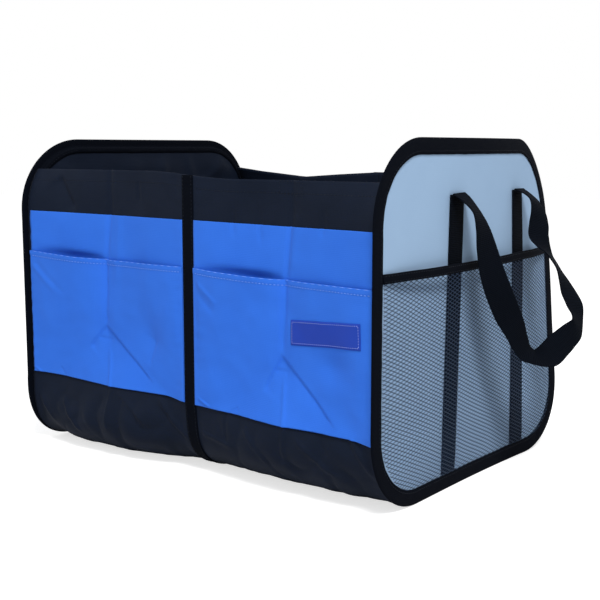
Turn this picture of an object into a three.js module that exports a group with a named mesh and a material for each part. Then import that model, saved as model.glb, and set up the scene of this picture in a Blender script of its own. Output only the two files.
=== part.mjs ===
// Folding car trunk organizer: two stiff end panels with carry handles and mesh pockets,
// joined by soft cloth walls with a sewn-in divider and flat front pockets.
// Millimetres, +Z up. X runs along the organizer, -Y is the pocket side.
// The origin is the centre of the footprint, on the floor.

import * as THREE from 'three';

// Driving dimensions of the whole bag
const LENGTH = 500;
const WIDTH = 410;
const END_HEIGHT = 370;
const END_CORNER = 85;
const WALL_HEIGHT = 331;
const CLEAR = 0.3;

// Bound end panels
const BINDING_WIDTH = 17;
const BINDING_CLOTH = 1.0;
const FACE_CLOTH = 1.0;
const END_BOARD = 3.0;
const LINING_CLOTH = 0.8;
const LAYER_CLEAR = 0.5;
const RIM_THICK = 2.8;
const RIM_WIDTH = 9.6;
const RIM_SLOPE = 0.8;
const REAR_LEAN = 30;
const LEAN_FOOT = 50;
const LEAN_START_Y = -55;
const REAR_FLARE = 13;
const REAR_FLARE_TOP = 180;
const FRONT_FLARE = 7;
const FRONT_FLARE_START_Y = -60;

// Cloth walls and base
const WALL_CLOTH = 1.2;
const PANEL_CLOTH = 1.0;
const BLUE_TOP = 284;
const BLUE_BOTTOM = 85;
const MID_CORNER = 68;
const SEAM_WAIST = 17;
const FOLD_WAIST = 25;
const END_WAIST = 6;
const FOLD_X = 126;
const BACK_DIP = 13;
const SEAM_TAPE_WIDTH = 16;
const BASE_BOARD = 3.0;

// Pockets on the front wall
const POCKET_TOP = 233;
const POCKET_CLOTH = 1.0;
const WIDE_GAPE = 10;
const FLAT_GAPE = 8;

// Bare woven label
const LABEL_END_GAP = 19;
const LABEL_WIDTH = 86;
const LABEL_HEIGHT = 25;
const LABEL_BOTTOM = 161.5;
const LABEL_RISE = 5;
const LABEL_CLOTH = 0.8;
const LABEL_LIFT = 0.6;

// Sewn-in divider
const DIVIDER_DROP = 39;
const DIVIDER_BOARD = 2.4;
const DIVIDER_CLOTH = 0.8;
const DIVIDER_TAPE = 14;

// Mesh pockets on the end panels
const MESH_TOP = 232;
const MESH_BAND = 10;
const MESH_THICK = 1.2;
const MESH_BULGE = 9;
const MESH_COLUMNS = 11;
const MESH_ROWS = 8;
const MESH_STRAND = 0.07;
const MESH_EDGE_CLEAR = 0.8;
const BAND_CLOTH = 2.0;

// Webbing straps and carry handles
const WEBBING_WIDTH = 29;
const WEBBING = 1.6;
const STRAP_FRONT_Y = -48.5;
const STRAP_REAR_Y = 106;
const STRAP_SLANT = 8;
const STRAP_FOOT = 10;
const HANDLE_ROOT_Z = 313;
const HANDLE_REACH = 87;
const HANDLE_DROP = 175;

// Colours
const BLACK_CLOTH = { color: 0x1b212c, roughness: 0.8, metalness: 0 };
const BLACK_TAPE = { color: 0x10151e, roughness: 0.85, metalness: 0 };
const BLUE_CLOTH = { color: 0x2c66d8, roughness: 0.75, metalness: 0 };
const PALE_CLOTH = { color: 0x9ab3d1, roughness: 0.75, metalness: 0 };
const MESH_THREAD = { color: 0x53687f, roughness: 0.7, metalness: 0 };
const LABEL_CLOTH_FINISH = { color: 0x2e3fa8, roughness: 0.7, metalness: 0 };
const BOARD = { color: 0x8a7f6c, roughness: 0.9, metalness: 0 };

// Positions through the thickness of an end panel, measured along X
const FACE_OUT = LENGTH / 2 - BINDING_CLOTH - LAYER_CLEAR;
const FACE_IN = FACE_OUT - FACE_CLOTH;
const BOARD_OUT = FACE_IN - LAYER_CLEAR;
const BOARD_IN = BOARD_OUT - END_BOARD;
const LINING_OUT = BOARD_IN - LAYER_CLEAR;
const LINING_IN = LINING_OUT - LINING_CLOTH;
const BINDING_IN = LINING_IN - LAYER_CLEAR - BINDING_CLOTH;
const RIM_IN = LENGTH / 2 - RIM_THICK;
const CLOTH_END = RIM_IN - LAYER_CLEAR;
const WALL_OFFSET = PANEL_CLOTH + CLEAR;
const INNER_OFFSET = WALL_OFFSET + WALL_CLOTH;
const TAPE_EDGE = SEAM_TAPE_WIDTH / 2;
const DIVIDER_TOP = WALL_HEIGHT - DIVIDER_DROP;

const organizer = new THREE.Group();

// Small numeric helpers
const lerp = (a, b, t) => a + (b - a) * t;
const clamp01 = (t) => Math.min(1, Math.max(0, t));
const smooth = (t) => clamp01(t) ** 2 * (3 - 2 * clamp01(t));
const range = (count) => Array.from({ length: count }, (_, i) => i);

function addPiece(name, geometry, finish) {
  const mesh = new THREE.Mesh(geometry, new THREE.MeshStandardMaterial(finish));
  mesh.name = name;
  organizer.add(mesh);
}

function meshFrom(points, triangles) {
  const geometry = new THREE.BufferGeometry();
  geometry.setAttribute('position', new THREE.Float32BufferAttribute(points.flat(), 3));
  geometry.setIndex(triangles);
  // A body that came out inside out has a negative volume, so its faces are turned
  let volume = 0;
  const corner = [new THREE.Vector3(), new THREE.Vector3(), new THREE.Vector3()];
  for (let i = 0; i < triangles.length; i += 3) {
    corner.forEach((v, k) => v.fromArray(points[triangles[i + k]]));
    volume += corner[0].dot(corner[1].clone().cross(corner[2]));
  }
  if (volume < 0) {
    for (let i = 0; i < triangles.length; i += 3) {
      [triangles[i], triangles[i + 1]] = [triangles[i + 1], triangles[i]];
    }
    geometry.setIndex(triangles);
  }
  geometry.computeVertexNormals();
  return geometry;
}

// A sheet of cloth or board: a grid of points on its outer side and one on its inner side
function sheet(rows, columns, outerPoint, innerPoint) {
  const points = [];
  for (const side of [outerPoint, innerPoint]) {
    for (const r of range(rows)) {
      for (const c of range(columns)) points.push(side(r, c));
    }
  }
  const at = (side, r, c) => side * rows * columns + r * columns + c;
  const triangles = [];
  const quad = (a, b, c, d) => triangles.push(a, b, c, a, c, d);
  for (const r of range(rows - 1)) {
    for (const c of range(columns - 1)) {
      quad(at(0, r, c), at(0, r, c + 1), at(0, r + 1, c + 1), at(0, r + 1, c));
      quad(at(1, r, c), at(1, r + 1, c), at(1, r + 1, c + 1), at(1, r, c + 1));
    }
  }
  for (const c of range(columns - 1)) {
    quad(at(0, 0, c), at(1, 0, c), at(1, 0, c + 1), at(0, 0, c + 1));
    quad(at(0, rows - 1, c), at(0, rows - 1, c + 1), at(1, rows - 1, c + 1), at(1, rows - 1, c));
  }
  for (const r of range(rows - 1)) {
    quad(at(0, r, 0), at(0, r + 1, 0), at(1, r + 1, 0), at(1, r, 0));
    quad(at(0, r, columns - 1), at(1, r, columns - 1), at(1, r + 1, columns - 1), at(0, r + 1, columns - 1));
  }
  return meshFrom(points, triangles);
}

// A section swept through a list of frames: closed on itself, or with flat ends
function sweep(rings, closed) {
  const count = rings[0].length;
  const points = rings.flat();
  const triangles = [];
  for (const i of range(closed ? rings.length : rings.length - 1)) {
    const j = (i + 1) % rings.length;
    for (const k of range(count)) {
      const m = (k + 1) % count;
      triangles.push(i * count + k, j * count + k, j * count + m);
      triangles.push(i * count + k, j * count + m, i * count + m);
    }
  }
  if (!closed) {
    const last = (rings.length - 1) * count;
    for (let k = 1; k < count - 1; k += 1) {
      triangles.push(0, k, k + 1);
      triangles.push(last, last + k + 1, last + k);
    }
  }
  return meshFrom(points, triangles);
}

// How far an end panel bows inwards: the right one twists, in at its rear top corner and out
// at its rear foot, and the left one flares out along its front edge
function endLean(end, y, z) {
  if (end < 0) {
    const forward = (FRONT_FLARE_START_Y - y) / (FRONT_FLARE_START_Y + WIDTH / 2);
    return -FRONT_FLARE * clamp01(forward) ** 2;
  }
  const back = clamp01((y - LEAN_START_Y) / (WIDTH / 2 - LEAN_START_Y)) ** 2;
  const up = clamp01((z - LEAN_FOOT) / (END_HEIGHT - LEAN_FOOT)) ** 2;
  const down = clamp01((REAR_FLARE_TOP - z) / REAR_FLARE_TOP) ** 2;
  return back * (REAR_LEAN * up - REAR_FLARE * down);
}

// A point of an end panel, at a distance out from the middle of the bag
function endPoint(end, out, y, z) {
  return [end * (out - endLean(end, y, z)), y, z];
}

// Half the width of an end panel at a height, for an outline set in by an inset
function endHalfWidth(z, inset) {
  const radius = END_CORNER - inset;
  const low = inset + radius;
  const high = END_HEIGHT - inset - radius;
  const beyond = z < low ? low - z : Math.max(0, z - high);
  const round = Math.sqrt(Math.max(0, radius ** 2 - Math.min(beyond, radius) ** 2));
  return WIDTH / 2 - inset - radius + round;
}

// Heights at which a panel outline is sampled: close together round its corners
const CORNER_STEPS = 6;
const STRAIGHT_STEPS = 6;
const PANEL_COLUMNS = 11;

function outlineHeights(inset) {
  const radius = END_CORNER - inset;
  const heights = range(CORNER_STEPS + 1).map((k) => {
    return inset + radius * (1 - Math.cos((k / CORNER_STEPS) * Math.PI / 2));
  });
  const mirrored = heights.map((z) => END_HEIGHT - z).reverse();
  const middle = range(STRAIGHT_STEPS - 1)
    .map((k) => lerp(inset + radius, END_HEIGHT - inset - radius, (k + 1) / STRAIGHT_STEPS));
  return [...heights, ...middle, ...mirrored];
}

// Flat layers of an end panel: outer face cloth, board and inner lining
function endLayer(end, outer, inner, inset) {
  const heights = outlineHeights(inset);
  const spot = (out) => (r, c) => {
    const half = endHalfWidth(heights[r], inset);
    return endPoint(end, out, lerp(-half, half, c / (PANEL_COLUMNS - 1)), heights[r]);
  };
  return sheet(heights.length, PANEL_COLUMNS, spot(outer), spot(inner));
}

// Folded edge tape: a U section that runs round the panel. Its two sides lie close together
// along the rim, beyond the board, and part where the board begins.
function edgeBinding(end) {
  const slopeEnd = RIM_WIDTH + RIM_SLOPE;
  const section = [
    [0, LENGTH / 2], [BINDING_WIDTH, LENGTH / 2], [BINDING_WIDTH, LENGTH / 2 - BINDING_CLOTH],
    [BINDING_CLOTH, LENGTH / 2 - BINDING_CLOTH], [BINDING_CLOTH, RIM_IN + BINDING_CLOTH],
    [RIM_WIDTH + BINDING_CLOTH, RIM_IN + BINDING_CLOTH],
    [slopeEnd + BINDING_CLOTH, BINDING_IN + BINDING_CLOTH],
    [BINDING_WIDTH, BINDING_IN + BINDING_CLOTH], [BINDING_WIDTH, BINDING_IN],
    [slopeEnd, BINDING_IN], [RIM_WIDTH, RIM_IN], [0, RIM_IN],
  ];
  const rings = [];
  const ringAt = (centreY, centreZ, angle) => rings.push(section.map(([inset, out]) => {
    const y = centreY + (END_CORNER - inset) * Math.cos(angle);
    const z = centreZ + (END_CORNER - inset) * Math.sin(angle);
    return endPoint(end, out, y, z);
  }));
  const farY = WIDTH / 2 - END_CORNER;
  const corners = [
    [farY, END_HEIGHT - END_CORNER], [-farY, END_HEIGHT - END_CORNER],
    [-farY, END_CORNER], [farY, END_CORNER],
  ];
  corners.forEach(([y, z], quarter) => {
    for (const k of range(CORNER_STEPS + 1)) {
      ringAt(y, z, (quarter + k / CORNER_STEPS) * Math.PI / 2);
    }
    const [nextY, nextZ] = corners[(quarter + 1) % 4];
    for (const k of range(STRAIGHT_STEPS - 1)) {
      const t = (k + 1) / STRAIGHT_STEPS;
      ringAt(lerp(y, nextY, t), lerp(z, nextZ, t), (quarter + 1) * Math.PI / 2);
    }
  });
  return sweep(rings, true);
}

// The mesh pocket stands off the panel, most in its middle
function meshStandOff(y, z) {
  const half = WIDTH / 2 - BINDING_WIDTH - CLEAR;
  const across = 1 - Math.abs(y / half) ** 4;
  const upward = clamp01((z - BINDING_WIDTH) / 50) ** 0.7;
  return MESH_BULGE * clamp01(across) * upward;
}

// Open mesh: a lattice with one diamond opening in each cell of a grid
function meshPocket(end) {
  const inset = BINDING_WIDTH + MESH_EDGE_CLEAR;
  const foot = inset;
  const points = [];
  const triangles = [];
  const place = (layer, u, v) => {
    const z = lerp(foot, MESH_TOP, v);
    const y = u * endHalfWidth(z, inset);
    const out = LENGTH / 2 - BINDING_CLOTH + meshStandOff(y, z) + layer * MESH_THICK;
    points.push(endPoint(end, out, y, z));
  };
  const columnsU = range(MESH_COLUMNS + 1).map((c) => lerp(-1, 1, c / MESH_COLUMNS));
  const rowsV = range(MESH_ROWS + 1).map((r) => (r / MESH_ROWS) ** 1.25);
  const corners = (MESH_COLUMNS + 1) * (MESH_ROWS + 1);
  const cells = MESH_COLUMNS * MESH_ROWS;
  const layerSize = corners + 4 * cells;
  for (const layer of [0, 1]) {
    for (const v of rowsV) {
      for (const u of columnsU) place(layer, u, v);
    }
    for (const r of range(MESH_ROWS)) {
      for (const c of range(MESH_COLUMNS)) {
        const inU = (t) => lerp(columnsU[c], columnsU[c + 1], t);
        const inV = (t) => lerp(rowsV[r], rowsV[r + 1], t);
        place(layer, inU(0.5), inV(MESH_STRAND));
        place(layer, inU(1 - MESH_STRAND), inV(0.5));
        place(layer, inU(0.5), inV(1 - MESH_STRAND));
        place(layer, inU(MESH_STRAND), inV(0.5));
      }
    }
  }
  for (const r of range(MESH_ROWS)) {
    for (const c of range(MESH_COLUMNS)) {
      const base = r * (MESH_COLUMNS + 1) + c;
      const rim = [base, base + 1, base + MESH_COLUMNS + 2, base + MESH_COLUMNS + 1];
      const hole = range(4).map((k) => corners + 4 * (r * MESH_COLUMNS + c) + k);
      for (const k of range(4)) {
        const next = (k + 1) % 4;
        const faces = [[rim[k], rim[next], hole[k]], [rim[next], hole[next], hole[k]]];
        for (const [a, b, d] of faces) {
          triangles.push(a, b, d, a + layerSize, d + layerSize, b + layerSize);
        }
        triangles.push(hole[k], hole[next], hole[next] + layerSize);
        triangles.push(hole[k], hole[next] + layerSize, hole[k] + layerSize);
      }
    }
  }
  const skirt = (a, b) => triangles.push(b, a, a + layerSize, b, a + layerSize, b + layerSize);
  const top = MESH_ROWS * (MESH_COLUMNS + 1);
  for (const c of range(MESH_COLUMNS)) {
    skirt(c, c + 1);
    skirt(top + c + 1, top + c);
  }
  for (const r of range(MESH_ROWS)) {
    const a = r * (MESH_COLUMNS + 1);
    skirt(a + MESH_COLUMNS + 1, a);
    skirt(a + MESH_COLUMNS, a + 2 * MESH_COLUMNS + 1);
  }
  return meshFrom(points, triangles);
}

// Tape along the mouth of the mesh pocket
function meshBand(end) {
  const columns = 19;
  const half = WIDTH / 2 - BINDING_WIDTH - CLEAR;
  const heights = [MESH_TOP + CLEAR, MESH_TOP + MESH_BAND];
  const spot = (depth) => (r, c) => {
    const y = lerp(-half, half, c / (columns - 1));
    const out = LENGTH / 2 - BINDING_CLOTH + meshStandOff(y, MESH_TOP) + depth;
    return endPoint(end, out, y, heights[r]);
  };
  return sheet(2, columns, spot(BAND_CLOTH), spot(0));
}

// Flat webbing sewn to the face from the bottom binding up to the handle, a little aslant
function strap(end, topY) {
  const rows = 12;
  const foot = BINDING_WIDTH + STRAP_FOOT;
  const spot = (out) => (r, c) => {
    const up = r / (rows - 1);
    const y = topY - STRAP_SLANT * (1 - up) + (c - 0.5) * WEBBING_WIDTH;
    return endPoint(end, out, y, lerp(foot, HANDLE_ROOT_Z - LAYER_CLEAR, up));
  };
  return sheet(rows, 2, spot(FACE_OUT + CLEAR + WEBBING), spot(FACE_OUT + CLEAR));
}

// Carry handle: one length of webbing that hangs from the tops of both straps and twists.
// Each station gives how far it stands out as a share of the reach, how far it lies from the
// front strap to the rear one, how far it hangs as a share of the drop, and the direction of
// its width as [out, along, up].
const HANDLE_OUT = FACE_OUT + CLEAR + WEBBING + CLEAR + WEBBING / 2;
const HANDLE_STATIONS = [
  [0, 0, 0, [0, 1, 0]],
  [0.079, 0.003, 0.027, [-0.08, 1, -0.01]],
  [0.158, 0.010, 0.064, [-0.15, 0.99, -0.06]],
  [0.239, 0.017, 0.115, [-0.15, 0.98, -0.13]],
  [0.304, 0.024, 0.202, [0.02, 1, -0.05]],
  [0.348, 0.038, 0.314, [0.29, 0.96, 0.03]],
  [0.403, 0.070, 0.460, [0.54, 0.84, 0.06]],
  [0.463, 0.123, 0.591, [0.68, 0.72, 0.16]],
  [0.517, 0.187, 0.707, [0.64, 0.72, 0.29]],
  [0.574, 0.254, 0.807, [0.36, 0.85, 0.36]],
  [0.607, 0.307, 0.894, [0.13, 0.88, 0.45]],
  [0.649, 0.348, 0.955, [-0.05, 0.89, 0.45]],
  [0.714, 0.383, 0.985, [-0.34, 0.85, 0.39]],
  [0.782, 0.420, 1.001, [-0.60, 0.65, 0.45]],
  [0.852, 0.480, 0.992, [-0.67, 0.26, 0.69]],
  [0.920, 0.572, 0.940, [-0.52, -0.10, 0.85]],
  [0.981, 0.674, 0.892, [-0.34, -0.39, 0.85]],
  [1.025, 0.762, 0.851, [-0.14, -0.67, 0.73]],
  [0.995, 0.818, 0.790, [-0.04, -0.95, 0.29]],
  [0.930, 0.849, 0.709, [-0.20, -0.98, -0.02]],
  [0.844, 0.865, 0.643, [-0.14, -0.99, -0.03]],
  [0.765, 0.878, 0.572, [0.07, -1, 0.04]],
  [0.668, 0.885, 0.489, [0.30, -0.95, 0.08]],
  [0.557, 0.887, 0.417, [0.25, -0.96, 0.12]],
  [0.451, 0.896, 0.358, [-0.11, -0.99, 0.06]],
  [0.370, 0.915, 0.296, [-0.43, -0.91, 0.04]],
  [0.345, 0.949, 0.226, [-0.39, -0.92, 0.06]],
  [0.313, 0.978, 0.150, [-0.19, -0.97, 0.10]],
  [0.240, 0.997, 0.076, [0.04, -0.99, 0.12]],
  [0.135, 1.004, 0.035, [0.13, -0.99, 0.05]],
  [0, 1, 0, [0, -1, 0]],
];

function handleLoop(end) {
  const half = WEBBING_WIDTH / 2;
  const rootLean = (y) => endLean(end, y, HANDLE_ROOT_Z);
  const rootX = (along) => {
    return HANDLE_OUT - lerp(rootLean(STRAP_FRONT_Y), rootLean(STRAP_REAR_Y), along);
  };
  const centres = HANDLE_STATIONS.map(([out, along, down]) => new THREE.Vector3(
    end * (rootX(along) + out * HANDLE_REACH),
    lerp(STRAP_FRONT_Y, STRAP_REAR_Y, along),
    HANDLE_ROOT_Z - down * HANDLE_DROP,
  ));
  const last = centres.length - 1;
  const rings = HANDLE_STATIONS.map(([, , down, [wideOut, wideAlong, wideUp]], i) => {
    const { y } = centres[i];
    // At its ends the webbing lies flat on the bowed panel
    const slope = (rootLean(y + half) - rootLean(y - half)) / WEBBING_WIDTH;
    const turned = clamp01(1 - down / 0.2) * slope * wideAlong;
    const wide = new THREE.Vector3(end * (wideOut - turned), wideAlong, wideUp);
    const forward = centres[Math.min(i + 1, last)].clone()
      .sub(centres[Math.max(i - 1, 0)]).normalize();
    const across = wide.clone().addScaledVector(forward, -wide.dot(forward)).normalize();
    const out = new THREE.Vector3().crossVectors(forward, across).normalize();
    return [[-1, -1], [1, -1], [1, 1], [-1, 1]].map(([a, b]) => centres[i].clone()
      .addScaledVector(across, a * half)
      .addScaledVector(out, b * WEBBING / 2).toArray());
  });
  return sweep(rings, false);
}

// The bag's cross-section from the top of one wall, down and under to the middle
const STRAIGHT_ROWS = [WALL_HEIGHT, 308, BLUE_TOP, 259, POCKET_TOP, 205, 175, 145, 115, BLUE_BOTTOM];
const CORNER_TURNS = 7;
const BASE_ROWS = 3;
const WALL_ROWS = STRAIGHT_ROWS.length + CORNER_TURNS + 1;
const HALF_ROWS = WALL_ROWS + BASE_ROWS;

function cornerRadius(x) {
  const fromEnd = clamp01((LENGTH / 2 - Math.abs(x)) / 90);
  return lerp(END_CORNER, MID_CORNER, smooth(fromEnd));
}

// The walls draw in between the stiff ends, most at their upright folds. At the ends they
// stay a little inside the rim of the panels, and their tops follow its round corners.
function waist(x, z) {
  const at = Math.abs(x);
  const toEnd = clamp01((CLOTH_END - at) / (CLOTH_END - FOLD_X));
  const toFold = at < FOLD_X ? at / FOLD_X : toEnd;
  const depth = at < FOLD_X
    ? lerp(SEAM_WAIST, FOLD_WAIST, toFold)
    : lerp(END_WAIST, FOLD_WAIST, toFold ** 0.85);
  const tuck = z > END_CORNER ? WIDTH / 2 - endHalfWidth(z, 0) : 0;
  return depth * smooth((z - 30 * toFold) / lerp(75, 120, toFold)) + tuck * (1 - toEnd);
}

function sectionPoint(row, x, offset, side) {
  const radius = cornerRadius(x);
  let y = -WIDTH / 2 + offset;
  let z = STRAIGHT_ROWS[Math.min(row, STRAIGHT_ROWS.length - 1)];
  if (row >= WALL_ROWS) {
    y = -(WIDTH / 2 - radius) * (HALF_ROWS - 1 - row) / BASE_ROWS;
    z = offset;
  } else if (row >= STRAIGHT_ROWS.length) {
    const angle = ((row - STRAIGHT_ROWS.length) / CORNER_TURNS) * Math.PI / 2;
    y = -(WIDTH / 2 - radius) - (radius - offset) * Math.cos(angle);
    z = radius - (radius - offset) * Math.sin(angle);
  }
  if (side > 0 && row === 0) z -= BACK_DIP * Math.exp(-(((Math.abs(x) - FOLD_X) / 55) ** 2));
  return [side * (-y - waist(x, z)), z];
}

// Columns along one half of the bag, on the centre seam, the upright fold and the end
const HALF_COLUMNS = [40, 84, FOLD_X - 8, FOLD_X, FOLD_X + 8, 168, 208];
const columnsFrom = (first, last) => [first, ...HALF_COLUMNS, last];

// A point of a wall, whose end follows the end panel where that bows inwards
function wallPoint(half, x, y, z) {
  return [half * (x - endLean(half, y, z) * (x / CLOTH_END) ** 2), y, z];
}

// Wall and base cloth of one half: one piece from wall top to wall top, under the base
function shellCloth(half) {
  const xs = [CLEAR / 2, ...columnsFrom(TAPE_EDGE, CLOTH_END)];
  const rows = 2 * HALF_ROWS - 1;
  const spot = (offset) => (r, c) => {
    const front = r < HALF_ROWS;
    const [y, z] = sectionPoint(front ? r : rows - 1 - r, xs[c], offset, front ? -1 : 1);
    return wallPoint(half, xs[c], y, z);
  };
  return sheet(rows, xs.length, spot(WALL_OFFSET), spot(INNER_OFFSET));
}

const BLUE_ROWS = range(STRAIGHT_ROWS.length)
  .filter((r) => STRAIGHT_ROWS[r] <= BLUE_TOP && STRAIGHT_ROWS[r] >= BLUE_BOTTOM);

function bluePanel(half, side) {
  const xs = columnsFrom(TAPE_EDGE + CLEAR, CLOTH_END);
  // On the back the rows run upwards, as they do in the shell cloth behind
  const rows = side < 0 ? BLUE_ROWS : [...BLUE_ROWS].reverse();
  const spot = (offset) => (r, c) => {
    const [y, z] = sectionPoint(rows[r], xs[c], offset, side);
    return wallPoint(half, xs[c], y, z);
  };
  return sheet(BLUE_ROWS.length, xs.length, spot(0), spot(PANEL_CLOTH));
}

// How far a front pocket stands open: one cloth, sewn down at the upright fold
const POCKET_ROWS = BLUE_ROWS.filter((r) => STRAIGHT_ROWS[r] <= POCKET_TOP);

function pocketGape(half, x, z) {
  const at = half * x;
  const leftOne = at < half * FOLD_X;
  const [low, high] = half > 0 ? [TAPE_EDGE, CLOTH_END] : [-CLOTH_END, -TAPE_EDGE];
  const [from, to] = leftOne ? [low, half * FOLD_X] : [half * FOLD_X, high];
  const t = clamp01((at - from) / (to - from));
  const bow = (4 * t * (1 - t)) ** 0.6;
  return (leftOne ? WIDE_GAPE : FLAT_GAPE) * bow * smooth((z - BLUE_BOTTOM) / 90);
}

function frontPocket(half) {
  const xs = columnsFrom(TAPE_EDGE + CLEAR, CLOTH_END);
  const spot = (depth) => (r, c) => {
    const [y, z] = sectionPoint(POCKET_ROWS[r], xs[c], 0, -1);
    return wallPoint(half, xs[c], y - CLEAR - depth - pocketGape(half, xs[c], z), z);
  };
  return sheet(POCKET_ROWS.length, xs.length, spot(POCKET_CLOTH), spot(0));
}

// The front pocket's outer side, between the points where it is sampled
function pocketSurface(x, z) {
  const xs = columnsFrom(TAPE_EDGE + CLEAR, CLOTH_END);
  const zs = POCKET_ROWS.map((r) => STRAIGHT_ROWS[r]);
  const c = xs.findIndex((_, k) => x <= xs[k + 1]);
  const r = zs.findIndex((_, k) => z >= zs[k + 1]);
  const outer = (row, column) => {
    const [y] = sectionPoint(POCKET_ROWS[row], xs[column], 0, -1);
    return y - CLEAR - POCKET_CLOTH - pocketGape(1, xs[column], zs[row]);
  };
  const across = (x - xs[c]) / (xs[c + 1] - xs[c]);
  const down = (zs[r] - z) / (zs[r] - zs[r + 1]);
  const upper = lerp(outer(r, c), outer(r, c + 1), across);
  return lerp(upper, lerp(outer(r + 1, c), outer(r + 1, c + 1), across), down);
}

// Bare woven label, sewn a little aslant to the right-hand pocket and creased where it is
function labelPatch() {
  const between = (list, low, high) => list.filter((value) => value > low && value < high);
  const right = CLOTH_END - LABEL_END_GAP;
  const left = right - LABEL_WIDTH;
  const top = LABEL_BOTTOM + LABEL_HEIGHT;
  const xs = [left, ...between(HALF_COLUMNS, left, right), right];
  const creases = between(STRAIGHT_ROWS, LABEL_BOTTOM + LABEL_RISE, top);
  const spot = (depth) => (r, c) => {
    const rise = LABEL_RISE * (xs[c] - left) / LABEL_WIDTH;
    const z = [top + rise, ...creases, LABEL_BOTTOM + rise][r];
    return [xs[c], pocketSurface(xs[c], z) - LABEL_LIFT - depth, z];
  };
  return sheet(creases.length + 2, xs.length, spot(LABEL_CLOTH), spot(0));
}

// Tape over the centre seam: down the front, under the base and up the back
function centreBinding() {
  const rows = 2 * HALF_ROWS - 1;
  const xs = [-TAPE_EDGE, 0, TAPE_EDGE];
  const spot = (offset) => (r, c) => {
    const front = r < HALF_ROWS;
    const [y, z] = sectionPoint(front ? r : rows - 1 - r, xs[c], offset, front ? -1 : 1);
    return [xs[c], y, z];
  };
  return sheet(rows, xs.length, spot(0), spot(PANEL_CLOTH));
}

// Divider between the two compartments: a board with a cloth on each side and a top tape
function dividerLayer(from, to) {
  const offset = INNER_OFFSET + CLEAR;
  const rows = range(WALL_ROWS).filter((r) => {
    return r >= STRAIGHT_ROWS.length || STRAIGHT_ROWS[r] < DIVIDER_TOP - DIVIDER_TAPE;
  });
  const outline = rows.map((r) => sectionPoint(r, 0, offset, -1));
  outline.unshift([sectionPoint(rows[0], 0, offset, -1)[0], DIVIDER_TOP - DIVIDER_CLOTH - CLEAR]);
  const spot = (x) => (r, c) => [x, lerp(outline[r][0], -outline[r][0], c), outline[r][1]];
  return sheet(outline.length, 2, spot(from), spot(to));
}

const DIVIDER_HALF = DIVIDER_BOARD / 2 + CLEAR + DIVIDER_CLOTH;

function dividerTape() {
  const half = -sectionPoint(2, 0, INNER_OFFSET + CLEAR, -1)[0];
  const inner = DIVIDER_HALF + CLEAR;
  const outer = inner + DIVIDER_CLOTH;
  const shape = new THREE.Shape();
  shape.moveTo(-outer, DIVIDER_TOP - DIVIDER_TAPE);
  shape.lineTo(-outer, DIVIDER_TOP);
  shape.lineTo(outer, DIVIDER_TOP);
  shape.lineTo(outer, DIVIDER_TOP - DIVIDER_TAPE);
  shape.lineTo(inner, DIVIDER_TOP - DIVIDER_TAPE);
  shape.lineTo(inner, DIVIDER_TOP - DIVIDER_CLOTH);
  shape.lineTo(-inner, DIVIDER_TOP - DIVIDER_CLOTH);
  shape.lineTo(-inner, DIVIDER_TOP - DIVIDER_TAPE);
  shape.closePath();
  const geometry = new THREE.ExtrudeGeometry(shape, { depth: 2 * half, bevelEnabled: false });
  geometry.rotateX(Math.PI / 2);
  geometry.translate(0, half, 0);
  return geometry;
}

// Stiff board that lies on the base of one compartment
function baseBoard(half) {
  const from = DIVIDER_HALF + CLEAR;
  const to = CLOTH_END - CLEAR;
  const depth = 2 * (WIDTH / 2 - END_CORNER);
  const geometry = new THREE.BoxGeometry(to - from, depth, BASE_BOARD);
  geometry.translate(half * (from + to) / 2, 0, INNER_OFFSET + CLEAR + BASE_BOARD / 2);
  return geometry;
}

// Assembly
const INNER_INSET = RIM_WIDTH + RIM_SLOPE + BINDING_CLOTH + 2 * CLEAR;
for (const [word, end] of [['right', 1], ['left', -1]]) {
  addPiece(`${word}_end_board`, endLayer(end, BOARD_OUT, BOARD_IN, INNER_INSET), BOARD);
  addPiece(`${word}_outer_face`, endLayer(end, FACE_OUT, FACE_IN, INNER_INSET), PALE_CLOTH);
  addPiece(`${word}_inner_lining`, endLayer(end, LINING_OUT, LINING_IN, INNER_INSET), BLACK_CLOTH);
  addPiece(`${word}_edge_binding`, edgeBinding(end), BLACK_TAPE);
  addPiece(`${word}_mesh_pocket`, meshPocket(end), MESH_THREAD);
  addPiece(`${word}_mesh_band`, meshBand(end), BLACK_TAPE);
  addPiece(`${word}_strap_front`, strap(end, STRAP_FRONT_Y), BLACK_TAPE);
  addPiece(`${word}_strap_rear`, strap(end, STRAP_REAR_Y), BLACK_TAPE);
  addPiece(`${word}_handle_loop`, handleLoop(end), BLACK_TAPE);
  addPiece(`${word}_shell_cloth`, shellCloth(end), BLACK_CLOTH);
  addPiece(`front_blue_panel_${word}`, bluePanel(end, -1), BLUE_CLOTH);
  addPiece(`back_blue_panel_${word}`, bluePanel(end, 1), BLUE_CLOTH);
  addPiece(`front_pocket_${word}`, frontPocket(end), BLUE_CLOTH);
  addPiece(`${word}_base_board`, baseBoard(end), BOARD);
  addPiece(`divider_cloth_${word}`, dividerLayer(
    end * (DIVIDER_BOARD / 2 + CLEAR), end * DIVIDER_HALF), BLACK_CLOTH);
}
addPiece('divider_board', dividerLayer(-DIVIDER_BOARD / 2, DIVIDER_BOARD / 2), BOARD);
addPiece('divider_top_binding', dividerTape(), BLACK_TAPE);
addPiece('centre_binding', centreBinding(), BLACK_TAPE);
addPiece('label_patch', labelPatch(), LABEL_CLOTH_FINISH);

export default organizer;
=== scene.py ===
import logging
import math
from dataclasses import dataclass, field
from enum import Enum
from typing import Sequence

import bpy
import numpy as np
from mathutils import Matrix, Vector, noise


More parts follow.
